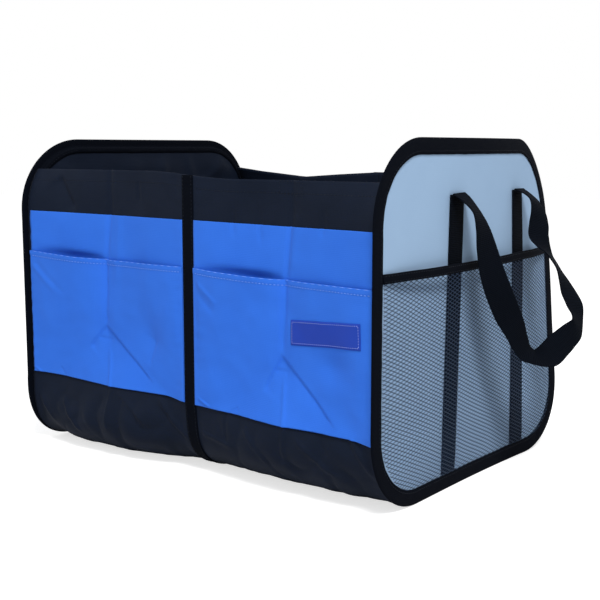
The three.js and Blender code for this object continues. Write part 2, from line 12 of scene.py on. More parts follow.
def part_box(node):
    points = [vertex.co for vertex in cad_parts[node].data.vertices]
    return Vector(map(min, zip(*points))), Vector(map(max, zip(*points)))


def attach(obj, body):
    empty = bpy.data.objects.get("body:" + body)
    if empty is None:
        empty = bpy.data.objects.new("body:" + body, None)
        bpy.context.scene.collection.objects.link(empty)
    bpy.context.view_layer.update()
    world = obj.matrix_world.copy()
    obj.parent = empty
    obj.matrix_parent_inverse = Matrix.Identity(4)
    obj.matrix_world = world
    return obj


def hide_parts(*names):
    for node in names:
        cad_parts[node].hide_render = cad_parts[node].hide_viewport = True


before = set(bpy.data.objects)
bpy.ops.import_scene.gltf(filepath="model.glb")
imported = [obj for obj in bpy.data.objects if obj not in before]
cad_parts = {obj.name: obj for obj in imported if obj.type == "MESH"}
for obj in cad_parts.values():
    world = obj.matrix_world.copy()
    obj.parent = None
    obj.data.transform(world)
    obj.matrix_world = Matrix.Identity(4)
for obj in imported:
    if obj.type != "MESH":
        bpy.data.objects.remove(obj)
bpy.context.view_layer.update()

# A cloth trunk organizer: bound end panels, soft walls, flat pockets, nets and webbing handles.
# Sizes are in millimetres and become metres when a mesh is made.

Array = np.ndarray
Material = bpy.types.Material
MM = 0.001
BAG = "bag"
log = logging.getLogger("organizer")

def box_mm(node: str) -> tuple[Vector, Vector]:
    """Lowest and highest corner of a node of the frame, in millimetres."""
    low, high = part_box(node)
    return Vector(low) / MM, Vector(high) / MM


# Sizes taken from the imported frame
panel_low, panel_high = box_mm("left_edge_binding")
blue_low, blue_high = box_mm("front_blue_panel_left")
strap_low, strap_high = box_mm("left_strap_front")
rear_strap_high = box_mm("left_strap_rear")[1]
LABEL_LOW, LABEL_HIGH = box_mm("label_patch")
WIDTH = panel_high.y - panel_low.y
END_HEIGHT = panel_high.z
WALL_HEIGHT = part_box("left_shell_cloth")[1].z / MM
BLUE_TOP = blue_high.z
BLUE_BOTTOM = blue_low.z
NET_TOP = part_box("left_mesh_pocket")[1].z / MM
BINDING_IN = -panel_high.x
WEBBING_WIDTH = 29.0
RIB_PITCH = 1.9
STRAP_ROOTS = (strap_high.y - WEBBING_WIDTH / 2, rear_strap_high.y - WEBBING_WIDTH / 2)
STRAP_SLANT = strap_high.y - strap_low.y - WEBBING_WIDTH

# Layers of the end panels and walls
LENGTH = 500.0
END_CORNER = 85.0
BINDING_WIDTH = 17.0
BINDING_CLOTH = 1.0
LAYER_CLEAR = 0.5
CLEAR = 0.3
FACE_OUT = LENGTH / 2 - BINDING_CLOTH - LAYER_CLEAR
FACE_CLOTH = 1.0
FACE_INSET = 12.0
LINING_IN = BINDING_IN + BINDING_CLOTH + LAYER_CLEAR
LINING_CLOTH = 0.8
RIM_IN = LENGTH / 2 - 2.8
CLOTH_END = RIM_IN - LAYER_CLEAR
PANEL_CLOTH = 1.0
WALL_CLOTH = 1.2
WALL_OFFSET = PANEL_CLOTH + CLEAR
REAR_LEAN = 30.0
LEAN_FOOT = 50.0
LEAN_START_Y = -55.0
REAR_FLARE = 13.0
REAR_FLARE_TOP = 180.0
FRONT_FLARE = 7.0
FRONT_FLARE_START_Y = -60.0
FULL_FOOT = 21.0
TAPE_EDGE = 8.0
FOLD_X = 126.0
FOLD_HEIGHTS = (80.0, 150.0, 232.0, 300.0)
POCKET_TOP = 233.0
SEAM_WAIST = 17.0
FOLD_WAIST = 25.0
END_WAIST = 6.0
NET_BULGE = 9.0
LABEL_RISE = 6.5
LABEL_SPREAD = 4.5
HANDLE_ROOT_Z = strap_high.z + 0.5
HANDLE_REACH = 87.0
HANDLE_DROP = 175.0


class Side(Enum):
    """The two long walls, by the sign of Y."""

    FRONT = -1
    BACK = 1


class End(Enum):
    """The two halves and end panels, by the sign of X."""

    LEFT = -1
    RIGHT = 1

    @property
    def word(self) -> str:
        """The word that node names use for this end."""
        return self.name.lower()


def linear(hex_colour: str) -> tuple[float, float, float, float]:
    """Turn an sRGB hex colour to linear RGBA.

    Args:
        hex_colour: six hex digits, such as "2c66d8".

    Returns:
        The linear colour with full alpha.
    """
    def channel(value: float) -> float:
        """Turn one sRGB channel to linear."""
        return value / 12.92 if value <= 0.04045 else ((value + 0.055) / 1.055) ** 2.4

    red, green, blue = (int(hex_colour[i:i + 2], 16) / 255 for i in (0, 2, 4))
    return (channel(red), channel(green), channel(blue), 1.0)


def smooth(t: Array | float) -> Array:
    """Ease from 0 to 1 over t from 0 to 1."""
    held = np.clip(t, 0.0, 1.0)
    return held * held * (3 - 2 * held)


def lerp(a: Array | float, b: Array | float, t: Array | float) -> Array:
    """Mix a and b by t."""
    return a + (b - a) * t


def wander(u: Array, v: Array, size: float, seed: float) -> Array:
    """Smooth noise between about -1 and 1 over two coordinates.

    Args:
        u: first coordinate, in millimetres.
        v: second coordinate, of the same shape.
        size: width of one undulation, in millimetres.
        seed: a number that picks one field.

    Returns:
        The noise at each point.
    """
    u, v = np.broadcast_arrays(u, v)
    values = [noise.noise(Vector((a / size, b / size, seed))) for a, b in zip(u.ravel(), v.ravel())]
    return np.array(values).reshape(u.shape)


def lengths(points: Array) -> Array:
    """Distance along a line of points, from its first point to each."""
    return np.concatenate([[0.0], np.cumsum(np.linalg.norm(np.diff(points, axis=0), axis=1))])


def unit(vectors: Array) -> Array:
    """The same directions at length 1."""
    return vectors / np.linalg.norm(vectors, axis=1, keepdims=True)


def resample(values: Array, along: Array, at: Array) -> Array:
    """Interpolate each column of values, which are known along a line, at other distances."""
    return np.stack([np.interp(at, along, column) for column in values.T], -1)


def polyline(corners: Sequence, count: int) -> Array:
    """Points on straight runs from corner to corner, so many on each run."""
    spots = np.array(corners, float)
    return np.concatenate([np.linspace(a, b, count) for a, b in zip(spots, spots[1:])])


# Materials

def add_node(tree: bpy.types.NodeTree, kind: str, settings: dict | None = None,
             links: dict | None = None) -> bpy.types.Node:
    """Add one shader node.

    Args:
        tree: the node tree.
        kind: the node's type name.
        settings: properties, or input sockets by name or index, and their values.
        links: input sockets by name or index, and the output socket that feeds each.

    Returns:
        The new node.
    """
    node = tree.nodes.new(kind)
    for key, value in (settings or {}).items():
        if isinstance(key, int) or key in node.inputs:
            node.inputs[key].default_value = value
        else:
            setattr(node, key, value)
    for key, socket in (links or {}).items():
        tree.links.new(socket, node.inputs[key])
    return node


def wave_scale(period_mm: float) -> float:
    """Scale of a Wave Texture whose bands repeat every so many millimetres."""
    return math.pi / 10 / (period_mm * MM)


def surface(name: str, sockets: dict[str, float]) -> tuple[Material, bpy.types.Node]:
    """Start a material and set the shader's sockets that have one value all over.

    Args:
        name: the material's name.
        sockets: the shader's inputs and their values.

    Returns:
        The material and its shader.
    """
    material = bpy.data.materials.new(name)
    material.use_nodes = True
    shader = material.node_tree.nodes["Principled BSDF"]
    for key, value in sockets.items():
        shader.inputs[key].default_value = value
    return material, shader


def cloth_place(tree: bpy.types.NodeTree) -> dict:
    """The link that lays a texture along the cloth's own threads."""
    return {"Vector": add_node(tree, "ShaderNodeUVMap", {"uv_map": "cloth"}).outputs["UV"]}


def dress(shader: bpy.types.Node, colours: tuple[str, str], mix: bpy.types.NodeSocket,
          height: bpy.types.NodeSocket, strength: float, depth_mm: float) -> None:
    """Feed a shader a mix of two colours, and a bump.

    Args:
        shader: the shader.
        colours: sRGB hex colours where the mix is 0 and where it is 1.
        mix: the output that mixes them.
        height: the output that raises the surface.
        strength: strength of the bump.
        depth_mm: its depth.
    """
    tree = shader.id_data
    low, high = (linear(colour) for colour in colours)
    colour = add_node(tree, "ShaderNodeMix", {"data_type": "RGBA", 6: low, 7: high}, {0: mix})
    bump = add_node(tree, "ShaderNodeBump", {"Strength": strength, "Distance": depth_mm * MM},
                    {"Height": height})
    tree.links.new(colour.outputs[2], shader.inputs["Base Color"])
    tree.links.new(bump.outputs["Normal"], shader.inputs["Normal"])


@dataclass(frozen=True)
class WovenCloth:
    """Plain-woven polyester with a coated back, dyed in the yarn.

    The two thread directions give a fine grain, the coating a soft broad sheen, and the
    handling of the cloth a slow drift of its tone.
    """

    name: str
    colour: str
    worn: str
    thread_mm: float = 0.9
    roughness: float = 0.75
    specular: float = 0.2
    sheen: float = 0.03
    relief: float = 0.25
    drift_mm: float = 55.0

    def build(self) -> Material:
        """Make the material."""
        material, shader = surface(self.name, {
            "IOR": 1.5, "Specular IOR Level": self.specular, "Sheen Weight": self.sheen,
            "Sheen Roughness": 0.45})
        tree = material.node_tree
        place = cloth_place(tree)
        # Drawn at twice the real thread spacing, which is too fine to show
        scale = wave_scale(2 * self.thread_mm)
        warp, weft = (add_node(tree, "ShaderNodeTexWave", {"bands_direction": way, "Scale": scale},
                               place).outputs["Fac"] for way in "XY")
        grid = add_node(tree, "ShaderNodeMath", {"operation": "MULTIPLY"},
                        {0: warp, 1: weft}).outputs[0]
        drift = add_node(tree, "ShaderNodeTexNoise",
                         {"Scale": 1 / (self.drift_mm * MM), "Detail": 3.0, "Roughness": 0.55}, place)
        fuzz = add_node(tree, "ShaderNodeTexNoise", {"Scale": 900.0, "Detail": 2.0},
                        place).outputs["Fac"]
        tone = add_node(tree, "ShaderNodeMapRange",
                        {"From Min": 0.3, "From Max": 0.7, "To Min": 0.0, "To Max": 0.55},
                        {"Value": drift.outputs["Fac"]})
        grain = add_node(tree, "ShaderNodeMath", {"operation": "MULTIPLY_ADD", 1: 0.35},
                         {0: grid, 2: tone.outputs["Result"]})
        rough = add_node(tree, "ShaderNodeMapRange",
                         {"To Min": self.roughness - 0.08, "To Max": self.roughness + 0.1},
                         {"Value": fuzz})
        tree.links.new(rough.outputs["Result"], shader.inputs["Roughness"])
        height = add_node(tree, "ShaderNodeMath", {"operation": "MULTIPLY_ADD", 1: 0.5},
                          {0: fuzz, 2: grid})
        dress(shader, (self.worn, self.colour), grain.outputs[0], height.outputs[0], self.relief, 0.3)
        return material


@dataclass(frozen=True)
class RibbedTape:
    """Woven polypropylene webbing or binding tape, with ribs across its length.

    The rib crests are painted a lighter colour, a row of small dull painted highlights over the ribs'
    bump, and the black dye stays a little blue.
    """

    name: str
    colour: str
    # Lighter colour on the rib crests: a painted highlight
    crest_highlight: str
    rib_mm: float
    roughness: float = 0.8
    specular: float = 0.03
    relief: float = 0.6

    def build(self) -> Material:
        """Make the material."""
        material, shader = surface(self.name, {
            "Roughness": self.roughness, "IOR": 1.5, "Specular IOR Level": self.specular})
        tree = material.node_tree
        place = cloth_place(tree)
        ribs = add_node(tree, "ShaderNodeTexWave",
                        {"bands_direction": "Y", "Scale": wave_scale(self.rib_mm), "Distortion": 0.6,
                         "Detail": 1.0, "Detail Scale": 4.0}, place).outputs["Fac"]
        lines = add_node(tree, "ShaderNodeTexWave",
                         {"bands_direction": "X", "Scale": wave_scale(self.rib_mm * 1.6)}, place)
        weave = add_node(tree, "ShaderNodeMath", {"operation": "MULTIPLY_ADD", 1: 0.35},
                         {0: lines.outputs["Fac"], 2: ribs})
        # The ribs mix the dye with the lighter crest colour: painted highlights on each rib's crest
        dress(shader, (self.colour, self.crest_highlight), ribs, weave.outputs[0], self.relief, 0.4)
        return material


@dataclass(frozen=True)
class TwistedYarn:
    """Sewing thread or knitted net yarn: fine, slightly glossy polyester."""

    name: str
    colour: str
    shade: str
    roughness: float = 0.5
    twist_mm: float = 1.5

    def build(self) -> Material:
        """Make the material."""
        material, shader = surface(self.name, {
            "Roughness": self.roughness, "IOR": 1.5, "Specular IOR Level": 0.15})
        tree = material.node_tree
        place = {"Vector": add_node(tree, "ShaderNodeTexCoord").outputs["Object"]}
        twist = add_node(tree, "ShaderNodeTexNoise",
                         {"Scale": 1 / (self.twist_mm * MM), "Detail": 1.0}, place).outputs["Fac"]
        dress(shader, (self.shade, self.colour), twist, twist, 0.4, 0.2)
        return material


def made(finish: WovenCloth | RibbedTape | TwistedYarn) -> Material:
    """A dataclass field that builds a finish when its set is made."""
    return field(default_factory=finish.build)


@dataclass(frozen=True)
class Finishes:
    """Every finish on the organizer, each built once."""

    # 600-denier blue polyester: saturated, with a soft light bloom on its folds
    blue: Material = made(WovenCloth("blue_polyester", "2a6ad9", "3072e2", sheen=0.04))
    # The same cloth in black: reads as a dull blue-black slate
    black: Material = made(WovenCloth(
        "black_polyester", "0c1422", "141c2c", roughness=0.64, specular=0.07, sheen=0.012, relief=0.3))
    # Pale grey-blue face cloth glued flat on its board
    pale: Material = made(WovenCloth(
        "pale_face_cloth", "97b4d4", "9cb9d8", sheen=0.02, relief=0.15))
    # Binding tape: darker than the cloth, close ribs
    tape: Material = made(RibbedTape(
        "black_binding_tape", "04060c", "0a0e17", rib_mm=1.2, relief=0.35))
    # Heavy webbing: bold ribs across its width
    webbing: Material = made(RibbedTape(
        "black_webbing", "04060b", "0d121b", rib_mm=RIB_PITCH, relief=0.8))
    # Slate net yarn, paler than the webbing under it
    net: Material = made(TwistedYarn("slate_net_yarn", "2f4058", "223045"))
    # Black sewing thread, glossier than the tape
    black_thread: Material = made(TwistedYarn("black_thread", "1b212c", "0c1018"))
    # Blue sewing thread, lighter than the cloth; also laid along the pocket's mouth as a painted
    # highlight
    blue_thread: Material = made(TwistedYarn("blue_thread", "86adfb", "6c97f0"))
    # Satin-woven violet-blue label
    label: Material = made(WovenCloth(
        "satin_label", "1f46b6", "1a3ca8", thread_mm=0.5, roughness=0.6, relief=0.2))
    # Pale stitching round the label
    label_thread: Material = made(TwistedYarn("label_thread", "b4c2f4", "8e9fe6"))


# Meshes

def make_object(name: str, points: Array, faces: list, uv: Array | None,
                material: Material) -> bpy.types.Object:
    """Make a smooth mesh object from points in millimetres.

    Args:
        name: the piece's name.
        points: (n, 3) points.
        faces: vertex indices of each face.
        uv: (n, 2) cloth coordinates in millimetres, or None.
        material: its only material.

    Returns:
        The linked object.
    """
    mesh = bpy.data.meshes.new(name)
    mesh.from_pydata((points * MM).tolist(), [], faces)
    mesh.update()
    if uv is not None:
        layer = mesh.uv_layers.new(name="cloth")
        loops = np.empty(len(mesh.loops), dtype=np.int64)
        mesh.loops.foreach_get("vertex_index", loops)
        layer.data.foreach_set("uv", (uv[loops] * MM).astype(np.float32).ravel())
    mesh.polygons.foreach_set("use_smooth", [True] * len(mesh.polygons))
    mesh.materials.append(material)
    piece = bpy.data.objects.new(name, mesh)
    bpy.context.scene.collection.objects.link(piece)
    return piece


def outward(points: Array, faces: list) -> list:
    """Turn the faces of a closed body outwards if they point in.

    Args:
        points: (n, 3) points.
        faces: vertex indices of each face.

    Returns:
        The faces, as they were or all turned round.
    """
    tri = np.array([[f[0], f[i], f[i + 1]] for f in faces for i in range(1, len(f) - 1)])
    a, b, c = (points[tri[:, k]] for k in range(3))
    volume = np.einsum("ij,ij->i", a, np.cross(b, c)).sum()
    return faces if volume > 0 else [tuple(reversed(f)) for f in faces]


def closed_sheet(name: str, outer: Array, inner: Array, uv: Array,
                 material: Material) -> bpy.types.Object:
    """A sheet of cloth with real thickness, from its two sides.

    Args:
        name: the piece's name.
        outer: (rows, columns, 3) points of the outer side.
        inner: the same for the inner side.
        uv: (rows, columns, 2) cloth coordinates.
        material: its material.

    Returns:
        The linked object.
    """
    rows, columns = outer.shape[:2]
    index = np.arange(rows * columns).reshape(rows, columns)
    top = np.stack([index[:-1, :-1], index[:-1, 1:], index[1:, 1:], index[1:, :-1]], -1).reshape(-1, 4)
    size = rows * columns
    faces = top.tolist() + (top[:, ::-1] + size).tolist()
    edge = np.concatenate([index[0, :], index[1:, -1], index[-1, -2::-1], index[-2:0:-1, 0]])
    following = np.roll(edge, -1)
    faces += np.stack([following, edge, edge + size, following + size], -1).tolist()
    points = np.concatenate([outer.reshape(-1, 3), inner.reshape(-1, 3)])
    flat = np.concatenate([uv.reshape(-1, 2)] * 2)
    return make_object(name, points, outward(points, faces), flat, material)


def swept(name: str, rings: Array, girth: Array, along: Array, material: Material,
          closed: bool = False) -> bpy.types.Object:
    """A section carried along a path.

    Args:
        name: the piece's name.
        rings: (stations, section points, 3) points.
        girth: the cloth coordinate of each section point.
        along: the cloth coordinate of each station.
        material: its material.
        closed: whether the last station joins the first.

    Returns:
        The linked object.
    """
    stations, count = rings.shape[:2]
    faces = []
    for i in range(stations if closed else stations - 1):
        j = (i + 1) % stations
        for k in range(count):
            m = (k + 1) % count
            faces.append((i * count + k, j * count + k, j * count + m, i * count + m))
    if not closed:
        faces.append(tuple(range(count)))
        faces.append(tuple(range(stations * count - 1, (stations - 1) * count - 1, -1)))
    points = rings.reshape(-1, 3)
    uv = np.stack(np.broadcast_arrays(girth[None], along[:, None]), -1).reshape(-1, 2)
    return make_object(name, points, outward(points, faces), uv, material)


def sew(name: str, path: Array, out: Sequence[float] | Array, slot: str, thread: Material,
        length: float = 3.0, gap: float = 1.2, width: float = 0.7, proud: float = 0.25) -> None:
    """Sew a row of stitches on the bag: each is a slim pointed bead of thread.

    Args:
        name: the piece's name.
        path: (n, 3) points on the cloth.
        out: the direction out of the cloth, one for all points or one for each.
        slot: the slot's name.
        thread: the thread's material.
        length: length of a stitch.
        gap: cloth between two stitches.
        width: width of the thread.
        proud: how far the thread stands out.
    """
    along = lengths(path)
    count = max(1, int((along[-1] + gap) / (length + gap)))
    pitch = along[-1] / count
    middle = (np.arange(count) + 0.5) * pitch
    half = (pitch - gap) / 2
    centre, start, end = (resample(path, along, middle + shift) for shift in (0, -half, half))
    rise = unit(resample(np.broadcast_to(np.asarray(out, float), path.shape), along, middle))
    across = np.cross(unit(end - start), rise) * width / 2
    corners = np.stack([start, centre + across, end, centre - across,
                        centre + rise * proud, centre - rise * proud], 1)
    pattern = [(0, 1, 4), (1, 2, 4), (2, 3, 4), (3, 0, 4), (1, 0, 5), (2, 1, 5), (3, 2, 5), (0, 3, 5)]
    first = np.arange(count)[:, None, None] * 6
    faces = (first + np.array(pattern)[None]).reshape(-1, 3).tolist()
    place_piece(make_object(name, corners.reshape(-1, 3), faces, None, thread), BAG, slot)


def bundle(name: str, yarns: list, knots: Array, knot: tuple,
           material: Material) -> bpy.types.Object:
    """Many yarns and the knots between them, in one mesh.

    Args:
        name: the piece's name.
        yarns: for each yarn, its (stations, 4, 3) section points.
        knots: (n, 3) middles of the knots.
        knot: half sizes of a knot along the three axes.
        material: its material.

    Returns:
        The linked object.
    """
    faces, start = [], 0
    for rings in yarns:
        count = len(rings)
        for i in range(count - 1):
            a, b = start + 4 * i, start + 4 * i + 4
            faces += [(a + k, b + k, b + (k + 1) % 4, a + (k + 1) % 4) for k in range(4)]
        last = start + 4 * (count - 1)
        faces += [(start + 3, start + 2, start + 1, start), (last, last + 1, last + 2, last + 3)]
        start += 4 * count
    axes = np.concatenate([np.diag(knot), -np.diag(knot)])
    beads = (knots[:, None] + axes[None]).reshape(-1, 3)
    pattern = np.array([(0, 1, 2), (1, 3, 2), (3, 4, 2), (4, 0, 2), (1, 0, 5), (3, 1, 5), (4, 3, 5),
                        (0, 4, 5)])
    first = start + 6 * np.arange(len(knots))[:, None, None]
    faces += (first + pattern[None]).reshape(-1, 3).tolist()
    points = np.concatenate([*(rings.reshape(-1, 3) for rings in yarns), beads])
    return make_object(name, points, faces, None, material)


def place_piece(piece: bpy.types.Object, body: str, slot: str, *nodes: str) -> None:
    """Ride a piece on its body and hide the solids that it stands for.

    Args:
        piece: the object.
        body: the body it moves with.
        slot: not used.
        nodes: the solids that it replaces.
    """
    if nodes:
        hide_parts(*nodes)
    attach(piece, body)
    log.info("%s: %d faces on %s", piece.name, len(piece.data.polygons), body)


def developed_uv(points: Array) -> Array:
    """Cloth coordinates of a grid: the distance along its rows and down its columns.

    Args:
        points: (rows, columns, 3) points.

    Returns:
        (rows, columns, 2) coordinates.
    """
    across = np.linalg.norm(np.diff(points, axis=1), axis=2)
    down = np.linalg.norm(np.diff(points, axis=0), axis=2)
    u = np.concatenate([np.zeros((len(points), 1)), np.cumsum(across, axis=1)], 1)
    v = np.concatenate([np.zeros((1, points.shape[1])), np.cumsum(down, axis=0)], 0)
    return np.stack([u, v], -1)


# End panels

def end_lean(end: End, y: Array, z: Array) -> Array:
    """How far an end panel bows.

    The right panel twists, in at its rear top corner and out at its rear foot. The left one
    flares out along its front edge.

    Args:
        end: the panel.
        y: position across the bag.
        z: height.

    Returns:
        The bow, positive towards the middle of the bag.
    """
    y, z = np.broadcast_arrays(np.asarray(y, float), np.asarray(z, float))
    if end is End.LEFT:
        forward = (FRONT_FLARE_START_Y - y) / (FRONT_FLARE_START_Y + WIDTH / 2)
        return -FRONT_FLARE * np.clip(forward, 0, 1) ** 2
    back = np.clip((y - LEAN_START_Y) / (WIDTH / 2 - LEAN_START_Y), 0, 1) ** 2
    up = np.clip((z - LEAN_FOOT) / (END_HEIGHT - LEAN_FOOT), 0, 1) ** 2
    down = np.clip((REAR_FLARE_TOP - z) / REAR_FLARE_TOP, 0, 1) ** 2
    return back * (REAR_LEAN * up - REAR_FLARE * down)


def end_points(end: End, out: Array | float, y: Array, z: Array) -> Array:
    """Points of an end panel, at a distance out from the middle of the bag."""
    out, y, z = np.broadcast_arrays(np.asarray(out, float), np.asarray(y, float), np.asarray(z, float))
    return np.stack([end.value * (out - end_lean(end, y, z)), y - full_foot(end, y, z), z], -1)


def full_foot(end: End, y: Array, z: Array) -> Array:
    """How far the left panel's low front corner is pressed out by the cloth behind it."""
    press = 0.0 if end is End.RIGHT else FULL_FOOT
    return press * smooth((-y - 60) / 70) * np.clip(1 - z / END_CORNER, 0, 1) ** 1.4


def end_half_width(z: Array, inset: float) -> Array:
    """Half the width of a panel's outline at a height.

    Args:
        z: height.
        inset: how far the outline is set in from the panel's edge.

    Returns:
        The half width.
    """
    radius = END_CORNER - inset
    beyond = np.maximum(END_CORNER - z, z - (END_HEIGHT - END_CORNER))
    beyond = np.clip(beyond, 0, radius)
    return WIDTH / 2 - END_CORNER + np.sqrt(radius ** 2 - beyond ** 2)


def net_stand_off(y: Array, z: Array) -> Array:
    """How far the net pocket stands off the panel."""
    across = np.clip(1 - np.abs(y / (WIDTH / 2 - BINDING_WIDTH)) ** 4, 0, 1)
    return NET_BULGE * across * np.clip((z - BINDING_WIDTH) / 50, 0, 1) ** 0.7


@dataclass
class EndPanel:
    """One end of the organizer: face cloth, lining, edge tape, net pocket, straps and handle."""

    end: End
    finishes: Finishes
    net_run: float = 9.5
    net_rise: float = 4.17
    net_yarn: float = 0.86
    net_depth: float = 0.5
    net_lift: float = 0.75
    net_cross: float = 0.18
    yarn_step: float = 6.0
    net_knot: tuple[float, float, float] = (0.42, 1.3, 0.68)
    knot_columns: int = 22
    knot_rows: int = 120
    band_height: float = 10.0
    band_cloth: float = 2.0
    binding_stitch_inset: float = 13.5
    webbing: float = 1.6
    lining_hold: float = 30.0
    curve_steps: int = 40

    def build(self) -> None:
        """Make every piece of this end."""
        self.face_sheet("outer_face", FACE_OUT, FACE_CLOTH, self.finishes.pale, "pale_cloth", 0.25)
        self.face_sheet("inner_lining", LINING_IN, -LINING_CLOTH, self.finishes.black,
                        "black_cloth", 0.35)
        self.binding()
        self.net()
        self.band()
        for place, y in zip(("front", "rear"), STRAP_ROOTS):
            self.strap(place, y)
        self.handle()
        self.frame_board()

    def name(self, piece: str) -> str:
        """The node name of one of this end's pieces."""
        return f"{self.end.word}_{piece}"

    def frame_board(self) -> None:
        """Give the hidden end board the finish of its covering."""
        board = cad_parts[self.name("end_board")]
        board.data.materials.clear()
        board.data.materials.append(self.finishes.black)

    def face_sheet(self, piece: str, out: float, thickness: float, material: Material,
                   slot: str, drift: float) -> None:
        """A cloth glued to one side of the board.

        Args:
            piece: the node's name without the end.
            out: where its visible side lies.
            thickness: thickness away from that side, positive towards the middle.
            material: its material.
            slot: the slot's name.
            drift: height of its slow unevenness.
        """
        inset = FACE_INSET
        corner = inset + (END_CORNER - inset) * (1 - np.cos(np.linspace(0, math.pi / 2, 21)))
        middle = np.linspace(END_CORNER, END_HEIGHT - END_CORNER, 44)[1:-1]
        heights = np.concatenate([corner, middle, END_HEIGHT - corner[::-1]])
        across = np.linspace(-1, 1, 90)
        z = heights[:, None] + 0 * across[None]
        y = across[None] * end_half_width(heights, inset)[:, None]
        uneven = drift * wander(y, z, 80, 3.0 + self.end.value)
        # The lining is only sewn round its edge, so it wrinkles off the board
        near_edge = np.minimum(z - inset, END_HEIGHT - inset - z) / self.lining_hold
        held = smooth((1 - np.abs(across)) * 6) * smooth(near_edge)
        wrinkle = self.lining_wrinkle(y, z) * held if thickness < 0 else 0 * y
        visible = end_points(self.end, out - wrinkle + np.sign(thickness) * np.minimum(uneven, 0), y, z)
        hidden = end_points(self.end, out - wrinkle - thickness, y, z)
        sheet = closed_sheet(self.name(piece), visible, hidden, np.stack([y, z], -1), material)
        self.name("end_board")
        place_piece(sheet, BAG, slot, self.name(piece))

    @staticmethod
    def lining_wrinkle(y: Array, z: Array) -> Array:
        """How far the lining stands off its board.

        Args:
            y: position across the bag.
            z: height.

        Returns:
            Broad swells and sharper ridges, aslant.
        """
        broad = np.abs(wander(y + 0.5 * z, z, 75, 21.0))
        sharp = np.clip(0.3 - np.abs(wander(y - 0.4 * z, z, 55, 24.0)), 0, 1)
        return 5.0 * broad + 7.0 * sharp

    @staticmethod
    def panel_area(inset: float) -> float:
        """Area of a panel outline in square metres."""
        width, height = WIDTH - 2 * inset, END_HEIGHT - 2 * inset
        return (width * height - (4 - math.pi) * (END_CORNER - inset) ** 2) * MM ** 2

    def outline(self, step: float = 5.0) -> tuple[Array, Array, Array, Array]:
        """The panel's outline as corner-arc centres and angles.

        Args:
            step: spacing along the outline.

        Returns:
            Arc centre y, arc centre z, angle and distance along, at each station.
        """
        far, high, low = WIDTH / 2 - END_CORNER, END_HEIGHT - END_CORNER, END_CORNER
        corners = [(far, high), (-far, high), (-far, low), (far, low)]
        centres, angles = [], []
        turns = round(END_CORNER * math.pi / 2 / step)
        for quarter, (y, z) in enumerate(corners):
            for k in range(turns + 1):
                centres.append((y, z))
                angles.append((quarter + k / turns) * math.pi / 2)
            next_y, next_z = corners[(quarter + 1) % 4]
            runs = round(math.hypot(next_y - y, next_z - z) / step)
            for k in range(1, runs):
                centres.append((lerp(y, next_y, k / runs), lerp(z, next_z, k / runs)))
                angles.append((quarter + 1) * math.pi / 2)
        centre = np.array(centres)
        angle = np.array(angles)
        rim = centre + END_CORNER * np.stack([np.cos(angle), np.sin(angle)], -1)
        along = lengths(rim)
        return centre[:, 0], centre[:, 1], angle, along

    def binding(self) -> None:
        """Folded edge tape with a soft rolled edge, slight puckers and two rows of stitches."""
        outer, inner = LENGTH / 2, BINDING_IN
        section = np.array([
            (BINDING_WIDTH, outer - 0.75), (BINDING_WIDTH - 0.6, outer - 0.15), (13, outer - 0.1),
            (8, outer), (3, outer - 0.1), (1, outer - 0.45), (0.15, outer - 1.05), (0, outer - 1.4),
            (0.15, RIM_IN + 1.05), (1, RIM_IN + 0.45), (3, RIM_IN + 0.1), (7.4, RIM_IN),
            (9.2, RIM_IN - 0.2), (10, RIM_IN - 2), (10.5, inner + 1.6), (11.3, inner + 0.3),
            (13, inner), (15, inner), (BINDING_WIDTH - 0.6, inner + 0.15),
            (BINDING_WIDTH, inner + 0.75), (14, inner + 0.95), (11.8, inner + 1.2),
            (11.2, inner + 3), (10.8, RIM_IN + 0.7), (9, RIM_IN + 1.05), (1.3, RIM_IN + 1.15),
            (1.3, outer - 1.15), (9, outer - 1),
        ])
        centre_y, centre_z, angle, along = self.outline()
        inset, out = section[:, 0][None], section[:, 1][None]
        pucker = wander(along[:, None], inset * 3, 9, 5.0 + self.end.value)
        swell = wander(along[:, None], inset, 45, 8.0)
        outside = out > outer - 1.5
        lift = np.clip(inset / 5, 0, 1) * (0.3 * pucker - 0.25 * np.abs(swell))
        thick = np.where(outside, 1.0, -1.0)
        shown = (np.arange(len(section)) < 20)[None]
        out = out + np.where(shown, thick * np.minimum(lift, 0.15), 0)
        edge = np.where(inset > BINDING_WIDTH - 1, 0.35 * wander(along[:, None], inset, 14, 2.0), 0)
        reach = END_CORNER - inset - edge
        y = centre_y[:, None] + reach * np.cos(angle)[:, None]
        z = centre_z[:, None] + reach * np.sin(angle)[:, None]
        rings = end_points(self.end, out, y, z)
        tape = swept(self.name("edge_binding"), rings, lengths(section), along, self.finishes.tape,
                     closed=True)
        place_piece(tape, BAG, "black_tape", self.name("edge_binding"))
        reach = END_CORNER - self.binding_stitch_inset
        y = np.append(centre_y + reach * np.cos(angle), centre_y[0] + reach)
        z = np.append(centre_z + reach * np.sin(angle), centre_z[0])
        for word, level, sign in (("outer", outer - 0.1, 1), ("inner", inner + 0.1, -1)):
            sew(self.name(f"binding_stitches_{word}"), end_points(self.end, level, y, z),
                (sign * self.end.value, 0, 0), "black_tape", self.finishes.black_thread)

